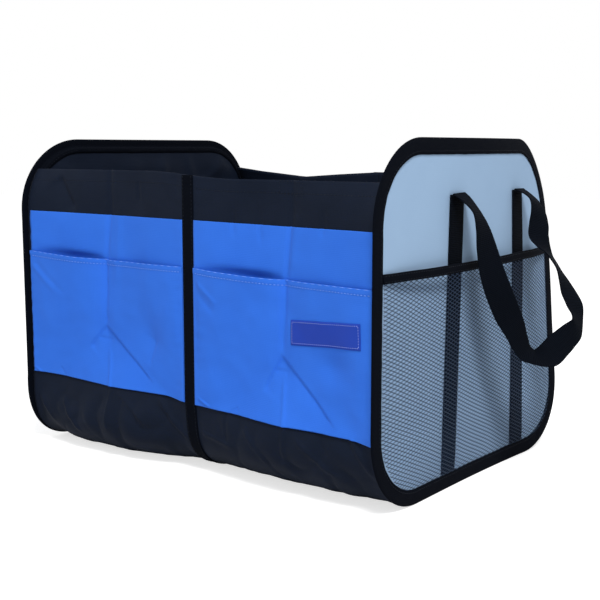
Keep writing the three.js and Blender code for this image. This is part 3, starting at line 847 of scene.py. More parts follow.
    def net(self) -> None:
        """Knitted net: two crossing sets of yarns, knotted in the middle half of the pocket."""
        inset = BINDING_WIDTH - 0.4
        half_depth, level = self.net_depth / 2, LENGTH / 2 - BINDING_CLOTH + self.net_lift
        yarns, knots = [], []
        pitch = self.net_rise / self.net_run
        reach = WIDTH / 2 * pitch
        for way in (1, -1):
            first = math.floor((inset - reach) / self.net_rise)
            for step in range(first, math.ceil((NET_TOP + reach) / self.net_rise) + 1):
                y = np.linspace(-WIDTH / 2, WIDTH / 2, 400)
                inside = self.in_net(y, way * pitch * y + step * self.net_rise, inset)
                if inside.sum() < 3:
                    continue
                start, end = y[inside][[0, -1]]
                y = np.linspace(start, end, max(2, int((end - start) / self.yarn_step) + 2))
                z = way * pitch * y + step * self.net_rise
                centre = self.net_surface(y, z, level + way * self.net_cross)
                across = np.array([0, -way * pitch, 1]) / math.hypot(pitch, 1) * self.net_yarn / 2
                proud = np.array([half_depth, 0, 0])
                yarns.append(np.stack([centre + across, centre + proud, centre - across,
                                       centre - proud], 1))
        for i in range(-self.knot_columns, self.knot_columns + 1):
            z = (np.arange(self.knot_rows) + (i % 2) / 2) * self.net_rise
            y = np.full(len(z), i * self.net_run / 2)
            inside = self.in_net(y, z, inset)
            knots.append(self.net_surface(y[inside], z[inside], level))
        net = bundle(self.name("mesh_pocket"), yarns, np.concatenate(knots), self.net_knot,
                     self.finishes.net)
        # Yarn this fine lets the light through to the face cloth behind it
        net.visible_shadow = False
        place_piece(net, BAG, "net_mesh", self.name("mesh_pocket"))

    @staticmethod
    def in_net(y: Array, z: Array, inset: float) -> Array:
        """Whether points lie inside the net pocket's outline."""
        half = end_half_width(np.clip(z, 0, END_HEIGHT), inset)
        return (z > inset) & (z < NET_TOP + 1) & (np.abs(y) < half)

    def net_surface(self, y: Array, z: Array, level: float) -> Array:
        """Points of the net, which is drawn a little out of true.

        Args:
            y: position across the bag, before it is drawn.
            z: height, before it is drawn.
            level: distance out where the net lies flat.

        Returns:
            The points.
        """
        seed = 3.0 * self.end.value
        moved_y = y + 1.3 * wander(y, z, 70, seed)
        moved_z = z + 0.9 * wander(y, z, 55, seed + 1)
        out = level + net_stand_off(moved_y, moved_z) + 0.8 * wander(y, z, 60, seed + 2)
        return end_points(self.end, out, moved_y, moved_z)

    def band(self) -> None:
        """Tape along the pocket's mouth, folded over the net's edge."""
        half = WIDTH / 2 - BINDING_WIDTH - 0.2
        y = np.linspace(-half, half, 90)
        low, high = NET_TOP + CLEAR, NET_TOP + self.band_height
        thick = self.band_cloth
        section = np.array([(low, 0.6), (low + 0.4, 1.5), (low + 2.5, thick), (high - 2.5, thick),
                            (high - 0.5, 1.6), (high, 0.9), (high - 0.4, 0.2), (low + 0.4, 0.0)])
        rise = 0.7 * wander(y, 0 * y, 60, 4.0)
        mouth = LENGTH / 2 - BINDING_CLOTH + net_stand_off(y, NET_TOP)
        rings = end_points(self.end, mouth[:, None] + section[:, 1][None], y[:, None],
                           section[:, 0][None] + rise[:, None])
        tape = swept(self.name("mesh_band"), rings, section[:, 0], y, self.finishes.tape)
        place_piece(tape, BAG, "black_tape", self.name("mesh_band"))
        for word, level in (("low", low + 2.0), ("high", high - 2.0)):
            path = end_points(self.end, mouth + thick, y, level + rise)
            sew(self.name(f"band_stitches_{word}"), path, (self.end.value, 0, 0), "black_tape",
                self.finishes.black_thread)

    def strap(self, place: str, top_y: float) -> None:
        """Flat webbing, sewn a little aslant to the face below the handle's root.

        Args:
            place: the word for this strap in its node's name.
            top_y: its middle at the top.
        """
        foot_z = BINDING_WIDTH + 0.5
        z = np.arange(foot_z, strap_high.z, RIB_PITCH / 2)
        half = WEBBING_WIDTH / 2
        section = np.array([(-half, 0.8), (-half + 0.5, 1.45), (-half + 2, 1.6), (0, 1.65),
                            (half - 2, 1.6), (half - 0.5, 1.45), (half, 0.8), (half - 0.6, 0.1),
                            (-half + 0.6, 0.1)])
        rib = 0.12 * np.cos(2 * math.pi * z / RIB_PITCH)[:, None] * (section[:, 1] > 1)[None]
        share = (strap_high.z - z) / (strap_high.z - strap_low.z)
        middle = top_y - STRAP_SLANT * share + 0.4 * wander(z, 0 * z, 90, top_y)
        y = middle[:, None] + section[:, 0][None]
        foot = np.clip((foot_z + 12 - z) / 12, 0, 1)[:, None]
        out = FACE_OUT + CLEAR + section[:, 1][None] + rib - foot * 0.7 * (section[:, 1] > 1)[None]
        rings = end_points(self.end, out, y, z[:, None] + 0 * y)
        strap = swept(self.name(f"strap_{place}"), rings, section[:, 0], z, self.finishes.webbing)
        place_piece(strap, BAG, "webbing", self.name(f"strap_{place}"))

    # Each station of the handle: how far it stands out as a share of the reach, how far it lies
    # from the front strap to the rear one, how far it hangs as a share of the drop, and the
    # direction of its width as out, along, up
    HANDLE_STATIONS = (
        (0, 0, 0, (0, 1, 0)), (0.079, 0.003, 0.027, (-0.08, 1, -0.01)),
        (0.158, 0.010, 0.064, (-0.15, 0.99, -0.06)), (0.239, 0.017, 0.115, (-0.15, 0.98, -0.13)),
        (0.304, 0.024, 0.202, (0.02, 1, -0.05)), (0.348, 0.038, 0.314, (0.29, 0.96, 0.03)),
        (0.403, 0.070, 0.460, (0.54, 0.84, 0.06)), (0.463, 0.123, 0.591, (0.68, 0.72, 0.16)),
        (0.517, 0.187, 0.707, (0.64, 0.72, 0.29)), (0.574, 0.254, 0.807, (0.36, 0.85, 0.36)),
        (0.607, 0.307, 0.894, (0.13, 0.88, 0.45)), (0.649, 0.348, 0.955, (-0.05, 0.89, 0.45)),
        (0.714, 0.383, 0.985, (-0.34, 0.85, 0.39)), (0.782, 0.420, 1.001, (-0.60, 0.65, 0.45)),
        (0.852, 0.480, 0.992, (-0.67, 0.26, 0.69)), (0.920, 0.572, 0.940, (-0.52, -0.10, 0.85)),
        (0.981, 0.674, 0.892, (-0.34, -0.39, 0.85)), (1.025, 0.762, 0.851, (-0.14, -0.67, 0.73)),
        (0.995, 0.818, 0.790, (-0.04, -0.95, 0.29)), (0.930, 0.849, 0.709, (-0.20, -0.98, -0.02)),
        (0.844, 0.865, 0.643, (-0.14, -0.99, -0.03)), (0.765, 0.878, 0.572, (0.07, -1, 0.04)),
        (0.668, 0.885, 0.489, (0.30, -0.95, 0.08)), (0.557, 0.887, 0.417, (0.25, -0.96, 0.12)),
        (0.451, 0.896, 0.358, (-0.11, -0.99, 0.06)), (0.370, 0.915, 0.296, (-0.43, -0.91, 0.04)),
        (0.345, 0.949, 0.226, (-0.39, -0.92, 0.06)), (0.313, 0.978, 0.150, (-0.19, -0.97, 0.10)),
        (0.240, 0.997, 0.076, (0.04, -0.99, 0.12)), (0.135, 1.004, 0.035, (0.13, -0.99, 0.05)),
        (0, 1, 0, (0, -1, 0)),
    )

    def handle(self) -> None:
        """The carry handle: one length of webbing that hangs and twists."""
        front, rear = STRAP_ROOTS
        root_out = FACE_OUT + CLEAR + self.webbing + CLEAR + self.webbing / 2
        half = WEBBING_WIDTH / 2
        centres, widths = [], []
        for out, along, down, (wide_out, wide_along, wide_up) in self.HANDLE_STATIONS:
            y = lerp(front, rear, along)
            lean = lerp(*(end_lean(self.end, root, HANDLE_ROOT_Z) for root in STRAP_ROOTS), along)
            # At its ends the webbing lies flat on the bowed panel
            edges = [end_lean(self.end, y + way * half, HANDLE_ROOT_Z) for way in (1, -1)]
            turned = max(0.0, 1 - down / 0.2) * (edges[0] - edges[1]) / WEBBING_WIDTH * wide_along
            centres.append((self.end.value * (root_out - lean + out * HANDLE_REACH), y,
                            HANDLE_ROOT_Z - down * HANDLE_DROP))
            widths.append((self.end.value * (wide_out - turned), wide_along, wide_up))
        path, across = (catmull(np.array(values, float), self.curve_steps)
                        for values in (centres, widths))
        along = lengths(path)
        even = np.arange(0, along[-1], RIB_PITCH / 2)
        path, across = (resample(values, along, even) for values in (path, across))
        forward = unit(np.gradient(path, axis=0))
        across = unit(across - (across * forward).sum(1, keepdims=True) * forward)
        out = np.cross(forward, across)
        thick = self.webbing / 2
        upper = [(-half, 0), (-half + 0.6, thick * 0.8), (-half + 2.2, thick), (0, thick),
                 (half - 2.2, thick), (half - 0.6, thick * 0.8)]
        section = upper + [(-a, -b) for a, b in upper]
        rib = 0.1 * np.cos(2 * math.pi * even / RIB_PITCH)
        rings = np.stack([path + across * a + out * (b + np.sign(b) * rib[:, None] * (abs(b) > 0.7))
                          for a, b in section], 1)
        girth = np.array([a if b >= 0 else 2 * half - a for a, b in section])
        loop = swept(self.name("handle_loop"), rings, girth, even, self.finishes.webbing)
        log.info("%s webbing is %.0f mm long", loop.name, along[-1])
        place_piece(loop, self.name("handle"), "webbing", self.name("handle_loop"))


def catmull(points: Array, per_span: int) -> Array:
    """A smooth centripetal curve through points.

    Args:
        points: (n, 3) points.
        per_span: samples on each span.

    Returns:
        The sampled curve.
    """
    first, last = 2 * points[0] - points[1], 2 * points[-1] - points[-2]
    p = np.vstack([first, points, last])
    curve = []
    for i in range(1, len(p) - 2):
        knots = [0.0]
        for a, b in ((i - 1, i), (i, i + 1), (i + 1, i + 2)):
            knots.append(knots[-1] + max(np.linalg.norm(p[b] - p[a]), 1e-6) ** 0.5)
        t = np.linspace(knots[1], knots[2], per_span, endpoint=False)[:, None]
        k0, k1, k2, k3 = knots
        a1 = (k1 - t) / (k1 - k0) * p[i - 1] + (t - k0) / (k1 - k0) * p[i]
        a2 = (k2 - t) / (k2 - k1) * p[i] + (t - k1) / (k2 - k1) * p[i + 1]
        a3 = (k3 - t) / (k3 - k2) * p[i + 1] + (t - k2) / (k3 - k2) * p[i + 2]
        b1 = (k2 - t) / (k2 - k0) * a1 + (t - k0) / (k2 - k0) * a2
        b2 = (k3 - t) / (k3 - k1) * a2 + (t - k1) / (k3 - k1) * a3
        curve.append((k2 - t) / (k2 - k1) * b1 + (t - k1) / (k2 - k1) * b2)
    return np.vstack([*curve, points[-1:]])


# Cloth walls

def dense_steps(marks: Sequence[float], coarse: float, fine: float, reach: float) -> Array:
    """Positions from the first mark to the last, closer together near each mark.

    Args:
        marks: increasing positions that the steps must include.
        coarse: spacing away from the marks.
        fine: spacing beside a mark.
        reach: how far from a mark the fine spacing holds.

    Returns:
        The increasing positions.
    """
    spots = [marks[0]]
    for low, high in zip(marks, marks[1:]):
        at = low
        while at < high - fine * 0.5:
            near = min(at - low, high - at) < reach
            at = min(high, at + (fine if near else coarse))
            spots.append(at)
        spots[-1] = high
    return np.array(spots)


@dataclass(frozen=True)
class Crease:
    """A crease in a wall's cloth, along a line between two points given as x and z.

    Depth is positive inwards. With a reach, the cloth steps in on the line's right side and
    eases back over the reach. With none, it is a soft groove, or a ridge if the depth is negative.
    """

    start: tuple[float, float]
    end: tuple[float, float]
    depth: float
    width: float
    reach: float = 0.0

    def at(self, x: Array, z: Array) -> Array:
        """Depth of the crease.

        Args:
            x: position along the wall.
            z: height.

        Returns:
            The depth at each point.
        """
        run_x, run_z = self.end[0] - self.start[0], self.end[1] - self.start[1]
        span = math.hypot(run_x, run_z)
        from_x, from_z = x - self.start[0], z - self.start[1]
        along = (from_x * run_x + from_z * run_z) / span ** 2
        off = (from_x * run_z - from_z * run_x) / span
        if self.reach:
            step = 1 / (1 + np.exp(np.clip(-2.5 * off / self.width, -40, 40)))
            profile = step * np.exp(-np.maximum(off, 0) / self.reach)
        else:
            profile = np.exp(-(off / self.width) ** 2)
        return self.depth * profile * smooth((along + 0.08) / 0.2) * smooth((1.08 - along) / 0.25)


# The creases of the front walls, placed as the photo shows them
FRONT_CREASES = {
    End.LEFT: (
        Crease((-136, 154), (-60, 98), 2.8, 1.3, 16), Crease((-158, 128), (-137, 153), 2.0, 1.3, 9),
        Crease((-146, 140), (-126, 138), 1.2, 1.2, 5), Crease((-112, 292), (-116, 200), -0.9, 6.0),
        Crease((-246, 224), (-205, 192), -0.8, 3.0), Crease((-236, 224), (-190, 188), 0.7, 4.0),
        Crease((-53, 147), (-62, 116), 1.6, 2.6, 9),
        Crease((-246, 96), (-232, 88), -1.6, 1.3), Crease((-204, 98), (-194, 87), 1.0, 1.0, 4),
        Crease((-205, 326), (-178, 290), 4.5, 2.6, 13), Crease((-79, 322), (-78, 300), 1.4, 1.8),
        Crease((-238, 62), (-212, 24), -2.6, 3.0), Crease((-196, 62), (-166, 20), -2.8, 2.6),
        Crease((-48, 80), (-8, 36), -2.8, 2.8), Crease((-105, 80), (-60, 48), -1.8, 2.6),
        Crease((-160, 50), (-140, 14), 2.0, 3.0, 12), Crease((-30, 60), (-70, 20), 1.6, 2.5, 10),
    ),
    End.RIGHT: (
        Crease((124, 148), (196, 88), 2.8, 1.3, 16), Crease((103, 112), (123, 147), 2.0, 1.3, 9),
        Crease((116, 134), (134, 133), 1.2, 1.2, 5), Crease((143, 292), (138, 240), -0.9, 6.0),
        Crease((12, 218), (44, 196), -1.0, 3.0), Crease((14, 206), (40, 186), 0.8, 4.0),
        Crease((12, 90), (30, 82), -1.6, 1.3), Crease((56, 80), (69, 88), 1.0, 1.0, 4),
        Crease((53, 78), (52, 46), 1.5, 2.0), Crease((219, 78), (241, 44), -2.8, 2.8),
        Crease((14, 50), (60, 42), -2.6, 2.6), Crease((80, 66), (112, 30), -2.0, 2.6),
        Crease((150, 70), (196, 34), -2.2, 2.8), Crease((60, 296), (62, 268), 1.0, 2.5),
        Crease((92, 300), (96, 262), 0.9, 3.0), Crease((180, 300), (178, 272), 0.8, 3.0),
    ),
}

# Rows of the shell's grid on each wall: upper edge, middle, above the fold and round it
SHELL_ROWS = {Side.FRONT: (26, 24, 5, 66), Side.BACK: (12, 24, 3, 30)}

# How far the back wall's edge lies below the front's, by distance from the middle
BACK_EDGE = ((0, 60, 116, 200, 240), (4, 7.5, 11.5, 4.8, 0.3))


@dataclass(frozen=True)
class WallShape:
    """What differs between the halves. Each triple runs from left to middle to right."""

    fold_places: tuple[float, float, float, float]
    base_radius: float
    blue_bottoms: tuple[float, float, float]
    blue_rises: tuple[float, float, float]
    mouths: tuple[float, float, float]


WALL_SHAPES = {
    End.LEFT: WallShape((117.5, 136, 134, 126), 52.0, (88.0, 85.0, 84.0), (1.0, -1.0, -1.2),
                        (237.0, 231.5, 232.0)),
    End.RIGHT: WallShape((135, 124, 129, 135), 78.0, (80.5, 77.8, 78.0), (-1.0, -3.0, -2.2),
                         (232.0, 227.5, 228.0)),
}


def swell(x: Array, z: Array, middle: tuple[float, float], spread: tuple[float, float]) -> Array:
    """A soft round swell of height 1, from its middle and spread in x and z."""
    return np.exp(-((x - middle[0]) / spread[0]) ** 2 - ((z - middle[1]) / spread[1]) ** 2)


@dataclass
class Half:
    """One half of the bag's cloth: base and wall cloth, blue panels and front pocket."""

    end: End
    finishes: Finishes
    hem: float = 13.0
    pocket_hem: float = 7.0
    pocket_stitch: float = 5.8
    mouth_highlight_inset: float = 0.5
    left_gap: float = 3.5
    shell_columns: int = 106
    blue_columns: int = 110
    pocket_columns: int = 178
    row_samples: int = 160

    def build(self) -> None:
        """Make every piece of this half."""
        self.shell()
        for side in Side:
            self.blue_panel(side)
            self.wall_hem(side)
        if self.end is End.RIGHT:
            self.bar_tack()
        self.pocket()

    @property
    def shape(self) -> WallShape:
        """The measures of this half."""
        return WALL_SHAPES[self.end]

    def share(self, x: Array) -> Array:
        """How far x lies from the left end of this half's cloth to its right end, 0 to 1."""
        return (x - self.span()[0]) / (CLOTH_END - TAPE_EDGE)

    def along(self, x: Array, values: Sequence[float]) -> Array:
        """A value at x, from its values at the left end, the middle and the right end."""
        return np.interp(self.share(x), (0, 0.5, 1), values)

    def span(self) -> tuple[float, float]:
        """Lowest and highest x of this half's cloth."""
        return (TAPE_EDGE, CLOTH_END) if self.end is End.RIGHT else (-CLOTH_END, -TAPE_EDGE)

    def fold_at(self, z: Array | float) -> Array:
        """Distance of the upright fold from the middle of the bag, at a height."""
        return np.interp(z, FOLD_HEIGHTS, self.shape.fold_places)

    def corner_radius(self, x: Array) -> Array:
        """Radius of the fold from wall to base: round at the ends and the seam."""
        inner = smooth((LENGTH / 2 - np.abs(x)) / 70) * smooth((np.abs(x) - 5) / 110)
        return lerp(END_CORNER, self.shape.base_radius, inner)

    def wall_top(self, x: Array, side: Side) -> Array:
        """Height of a wall's upper edge: the cloth slopes a little and dips at the rear folds.

        Args:
            x: position along the bag.
            side: the wall.

        Returns:
            The height.
        """
        if side is Side.FRONT:
            return WALL_HEIGHT + lerp(3.5, -3.5, smooth((x + 60) / 120))
        return WALL_HEIGHT - np.interp(np.abs(x), *BACK_EDGE)

    def waist(self, x: Array, z: Array) -> Array:
        """How far a wall draws in between the stiff ends.

        Args:
            x: position along the bag.
            z: height.

        Returns:
            The distance inwards.
        """
        at, fold = np.abs(x), self.fold_at(z)
        to_end = np.clip((CLOTH_END - at) / (CLOTH_END - fold), 0, 1)
        from_seam = np.clip((at - TAPE_EDGE - 1) / (fold - TAPE_EDGE - 1), 0, 1)
        to_fold = np.where(at < fold, from_seam, to_end)
        depth = np.where(at < fold, lerp(SEAM_WAIST, FOLD_WAIST, to_fold),
                         lerp(END_WAIST, FOLD_WAIST, to_fold ** 0.85))
        tuck = np.where(z > END_CORNER, WIDTH / 2 - end_half_width(np.minimum(z, END_HEIGHT), 0.0), 0)
        return depth * smooth((z - 30 * to_fold) / lerp(75, 120, to_fold)) + tuck * (1 - to_end)

    def relief(self, x: Array, z: Array, side: Side) -> Array:
        """Creases and soft wrinkles of a wall, positive inwards.

        Args:
            x: position along the bag.
            z: height.
            side: the wall.

        Returns:
            The displacement, shared by every layer of the wall.
        """
        seed = 11.0 * self.end.value + 3.0 * side.value
        slow = 2.4 * wander(x, z * 0.7, 62, seed) + 0.8 * wander(x, z, 27, seed + 1)
        low = smooth((BLUE_BOTTOM - 2 - z) / 25)
        crumple = 7.5 * (0.25 - np.abs(wander(x, z * 0.8, 34, seed + 2))) * low
        to_edge = np.minimum(np.abs(x) - TAPE_EDGE, CLOTH_END - np.abs(x))
        sewn = np.exp(-np.maximum(to_edge, 0) / 9) * smooth(to_edge / 4)
        pucker = wander(x * 0.4, z, 8, seed + 4) * sewn
        # Under the fold the gusset's cloth lies a little deeper, beside it stands a soft swell
        across = self.end.value * (np.abs(x) - FOLD_X)
        folds = 4.5 * swell(across, z, (64, 147), (24, 20)) - 2.5 * swell(across, z, (-70, 170), (40, 40))
        if side is Side.FRONT:
            off = np.abs(x) - self.fold_at(z)
            groove = 1.5 * np.exp(-(off / 3.2) ** 2) * smooth((z - 148) / 14)
            ridge = 1.2 * np.exp(-(off / 2.2) ** 2) * smooth((132 - z) / 20) * smooth((z - 25) / 20)
            folds = folds + sum(crease.at(x, z) for crease in FRONT_CREASES[self.end])
            folds = folds + self.mouth_hollow(x, z) + groove - ridge
        else:
            folds = folds + 1.6 * np.exp(-(across / 3.5) ** 2)
        return (slow + crumple + folds) * smooth(to_edge / 12) + pucker

    def settle(self, points: Array) -> Array:
        """Bring the wall's end to the bowed end panel.

        Args:
            points: points of the wall between straight ends.

        Returns:
            The moved points.
        """
        x, y, z = points[..., 0], points[..., 1], points[..., 2]
        reach = (np.abs(x) / CLOTH_END) ** 2
        shear = end_lean(self.end, y, z) * reach
        foot = full_foot(self.end, y, z) * reach ** 4
        return np.stack([x - self.end.value * shear, y - foot, z], -1)

    def wall_points(self, x: Array, z: Array, offset: float, side: Side,
                    proud: Array | float = 0.0) -> Array:
        """Points of one layer of a wall.

        Args:
            x: position along the bag.
            z: height.
            offset: depth of the layer inside the bag's outline.
            side: the wall.
            proud: how far it stands off, outwards.

        Returns:
            The points.
        """
        x, z = np.broadcast_arrays(x, z)
        radius = self.corner_radius(x)
        below = np.clip(radius - z, 0, radius - offset)
        reach = np.sqrt(np.maximum((radius - offset) ** 2 - below ** 2, 0))
        depth = WIDTH / 2 - radius + reach - self.waist(x, z) - self.relief(x, z, side) + proud
        return self.settle(np.stack([x, side.value * depth, z], -1))

    def shell(self) -> None:
        """Wall and base cloth: one piece from wall top to wall top, under the base."""
        x = self.end.value * np.linspace(CLEAR / 2, CLOTH_END, self.shell_columns)
        outer, inner = (self.shell_side(x, offset) for offset in (WALL_OFFSET, WALL_OFFSET + WALL_CLOTH))
        uv = developed_uv(outer)
        shell = closed_sheet(f"{self.end.word}_shell_cloth", outer, inner, uv, self.finishes.black)
        place_piece(shell, BAG, "black_cloth", f"{self.end.word}_shell_cloth")

    def shell_side(self, x: Array, offset: float) -> Array:
        """One side of the shell cloth.

        Args:
            x: positions along the bag.
            offset: depth of the side inside the bag's outline.

        Returns:
            Rows of points from the front wall's top, under the base, to the back wall's top.
        """
        sides = []
        for side, rows in SHELL_ROWS.items():
            top = self.wall_top(x, side)[None]
            share = np.concatenate([np.linspace(a, b, count, endpoint=False) for a, b, count
                                    in zip((0, 0.2, 0.94), (0.2, 0.94, 1), rows)])[:, None]
            upright = self.wall_points(x[None], lerp(top, END_CORNER, share), offset, side)
            radius = self.corner_radius(x)[None]
            straight = END_CORNER - radius
            q = np.linspace(0, 1, rows[3])[:, None] * (straight + radius * math.pi / 2)
            angle = np.clip((q - straight) / radius, 0, math.pi / 2)
            z = np.where(q < straight, END_CORNER - q, radius - (radius - offset) * np.sin(angle))
            at = np.broadcast_to(x[None], z.shape)
            fold = self.relief(at, z, side)
            lift = np.abs(fold) * np.sin(angle) * smooth(z / 12)
            y = WIDTH / 2 - radius + (radius - offset) * np.cos(angle)
            y = y - self.waist(at, z) - fold * np.cos(angle)
            corner = self.settle(np.stack([at, side.value * y, z + lift], -1))
            across = np.linspace(1, 0, 16)[1:, None]
            base_y = side.value * (WIDTH / 2 - radius) * across
            base_x = np.broadcast_to(x[None], base_y.shape)
            billow = 0.5 * np.abs(wander(base_x, base_y, 50, 6.0)) * smooth((1 - across) * 5)
            base = np.stack([base_x, base_y, offset + billow], -1)
            sides.append(np.concatenate([upright, corner, base]))
        return np.concatenate([sides[0], sides[1][-2::-1]])

    def blue_bottom(self, x: Array) -> Array:
        """Height of the blue cloth's lower seam, which falls at its right end."""
        return self.along(x, self.shape.blue_bottoms) - 2.5 * smooth((self.share(x) - 0.86) / 0.14)

    def blue_top(self, x: Array) -> Array:
        """Height of the blue cloth's upper seam."""
        return BLUE_TOP + self.along(x, self.shape.blue_rises)

    def pocket_top(self, x: Array) -> Array:
        """Height of the front pocket's mouth."""
        return self.along(x, self.shape.mouths)

    def blue_end(self) -> float:
        """Where the blue cloth's outer edge lies: a little short of the left rim."""
        return CLOTH_END - self.left_gap if self.end is End.LEFT else CLOTH_END

    def blue_panel(self, side: Side) -> None:
        """Blue cloth with its edges turned under.

        Args:
            side: the wall that it is sewn on.
        """
        front = side is Side.FRONT
        end = self.blue_end() if front else CLOTH_END
        x = self.end.value * np.linspace(TAPE_EDGE + CLEAR, end, self.blue_columns)
        top = self.blue_top(x) if front else np.full(len(x), BLUE_TOP)
        bottom = self.blue_bottom(x) if front else np.full(len(x), BLUE_BOTTOM)
        share = dense_steps([0, 1], 0.016, 0.004, 0.03)[:, None]
        z = lerp(top[None], bottom[None], share)
        turned = 0.35 * (np.exp(-50 * share) + np.exp(-50 * (1 - share)))
        outer = self.wall_points(x[None], z, 0.0, side, -turned)
        inner = self.wall_points(x[None], z, PANEL_CLOTH, side)
        name = f"{side.name.lower()}_blue_panel_{self.end.word}"
        sheet = closed_sheet(name, outer, inner, developed_uv(outer), self.finishes.blue)
        place_piece(sheet, BAG, "blue_cloth", name)

    def wall_hem(self, side: Side) -> None:
        """Row of stitches under the wall's folded upper edge.

        Args:
            side: the wall.
        """
        x = self.end.value * np.linspace(TAPE_EDGE + 2, CLOTH_END - 2, self.row_samples)
        path = self.wall_points(x, self.wall_top(x, side) - self.hem, WALL_OFFSET, side, 0.1)
        sew(f"{side.name.lower()}_hem_stitches_{self.end.word}", path, (0, side.value, 0),
            "black_cloth", self.finishes.black_thread)

    def bar_tack(self) -> None:
        """Stitched rectangle in the right half's black upper band."""
        line = polyline([(119, 314), (149, 312), (149, 325), (119, 327), (119, 314)], 20)
        path = self.wall_points(line[:, 0], line[:, 1], WALL_OFFSET, Side.FRONT, 0.1)
        sew("front_bar_tack", path, (0, -1, 0), "black_cloth", self.finishes.black_thread)

    def mouth_hollow(self, x: Array, z: Array) -> Array:
        """How far the wall sinks back behind the mouth of the left part of the pocket.

        Args:
            x: position along the bag.
            z: height.

        Returns:
            The distance inwards.
        """
        top = self.pocket_top(x)
        deep = smooth((top + 7.5 - z) / 9) * smooth((z - top + 60) / 40)
        return 4.6 * self.mouth_bow(x)[0] ** 1.3 * deep

    def mouth_bow(self, x: Array) -> tuple[Array, Array]:
        """How the pocket's mouth bows over its two parts.

        Args:
            x: position along the bag.

        Returns:
            The bow of the left part and of the right part, 0 to 1.
        """
        low, high = self.span()
        middle = self.end.value * self.fold_at(FOLD_HEIGHTS[2])
        left = np.clip((x - low) / (middle - low), 0, 1) ** 1.5
        right = np.clip((x - middle) / (high - middle), 0, 1)
        return (4 * left * (1 - left)) ** 0.9, (4 * right * (1 - right)) ** 0.75

    def gape(self, x: Array, z: Array) -> Array:
        """How far the pocket stands open: its left part most.

        Args:
            x: position along the bag.
            z: height.

        Returns:
            The distance outwards.
        """
        left, right = self.mouth_bow(x)
        up = np.clip((z - BLUE_BOTTOM) / (POCKET_TOP - BLUE_BOTTOM), 0, 1.05)
        return (10.0 * left + 3.5 * right) * up ** 2.2 + self.mouth_hollow(x, z)

    def pocket_points(self, x: Array, z: Array, depth: Array | float) -> Array:
        """Points of the front pocket's cloth.

        Args:
            x: position along the bag.
            z: height.
            depth: distance out from the cloth's inner side.

        Returns:
            The points.
        """
        x, z = np.broadcast_arrays(x, z)
        seed = 31.0 + 7.0 * self.end.value
        to_edge = np.minimum(np.abs(x) - TAPE_EDGE, CLOTH_END - np.abs(x))
        to_fold = np.abs(np.abs(x) - self.fold_at(z))
        loose = smooth(to_edge / 25) * smooth(to_fold / 18) * smooth((z - 85) / 20)
        own = (0.9 * wander(x, z * 0.8, 45, seed) + 0.45 * wander(x, z, 17, seed + 1) + 0.8) * loose
        return self.wall_points(x, z, 0.0, Side.FRONT, CLEAR + self.gape(x, z) + own + depth)

    def pocket(self) -> None:
        """Front pocket: one cloth with a stitched hem, sewn down at the upright fold, and a painted
        highlight of pale thread along its mouth.
        """
        x = self.end.value * np.linspace(TAPE_EDGE + CLEAR, self.blue_end(), self.pocket_columns)
        top = self.pocket_top(x)[None]
        bottom = self.blue_bottom(x)[None] + 0.6
        share = dense_steps([0, 1], 0.0095, 0.005, 0.06)[:, None]
        z = lerp(top, bottom, share)
        down = top - z
        hem = 0.5 * smooth((self.pocket_hem - down) / 0.8)
        groove = 0.35 * np.exp(-(((down - self.pocket_stitch) / 0.7) ** 2))
        rolled = 0.35 * np.exp(-down / 0.7)
        outer = self.pocket_points(x[None], z, PANEL_CLOTH + hem - groove - rolled)
        inner = self.pocket_points(x[None], z, 0.0)
        name = f"front_pocket_{self.end.word}"
        sheet = closed_sheet(name, outer, inner, developed_uv(outer), self.finishes.blue)
        place_piece(sheet, BAG, "blue_cloth", name)
        line = self.end.value * np.linspace(TAPE_EDGE + 3, self.blue_end() - 3, self.row_samples)
        # The 'edge' row is close-set pale thread just under the mouth: a painted highlight along the
        # rolled top edge, not a real seam
        for word, inset, length, width in (("hem", self.pocket_stitch, 3.2, 0.9),
                                           ("edge", self.mouth_highlight_inset, 9.0, 0.7)):
            path = self.pocket_points(line, self.pocket_top(line) - inset, PANEL_CLOTH + 0.3)
            sew(f"{name}_{word}_stitches", path, (0, -1, 0), "blue_cloth", self.finishes.blue_thread,
                length=length, gap=0.9, width=width, proud=0.3)


@dataclass
class Label:
    """Bare woven label with a stitched border, on the right-hand pocket."""

    half: Half
    finishes: Finishes
    cloth: float = 0.8
    border: float = 2.2
    trim: float = 4.0
    lift: float = 0.25

    def build(self) -> None:
        """Make the label and its stitches."""
        width = LABEL_HIGH.x - LABEL_LOW.x + 2 * LABEL_SPREAD
        height = LABEL_HIGH.z - LABEL_LOW.z - self.trim
        along = np.linspace(0, width, 60)[None]
        up = np.linspace(0, height, 24)[:, None]
        edge = np.minimum(np.minimum(along, width - along), np.minimum(up, height - up))
        crown = self.cloth * (1 - np.exp(-edge / 0.6) * 0.5)
        outer, inner = (self.points(along, up, depth) for depth in (crown, 0.0))
        sheet = closed_sheet("label_patch", outer, inner, developed_uv(outer), self.finishes.label)
        place_piece(sheet, BAG, "woven_label", "label_patch")
        low, far, high = self.border, width - self.border, height - self.border
        line = polyline([(low, low), (far, low), (far, high), (low, high), (low, low)], 40)
        path = self.points(line[:, 0], line[:, 1], self.cloth + 0.05)
        sew("label_stitches", path, (0, -1, 0), "woven_label", self.finishes.label_thread,
            length=1.7, gap=1.0, width=0.8)

    def points(self, along: Array, up: Array, depth: Array | float) -> Array:
        """Points of the label, from its lower left corner, a depth out from its back.

        Args:
            along: distance along the label.
            up: distance up it.
            depth: distance out.

        Returns:
            The points on the pocket.
        """
        x = LABEL_LOW.x - LABEL_SPREAD + along
        z = LABEL_LOW.z + LABEL_RISE * along / (LABEL_HIGH.x - LABEL_LOW.x) + up
        return self.half.pocket_points(x, z, PANEL_CLOTH + self.lift + depth)


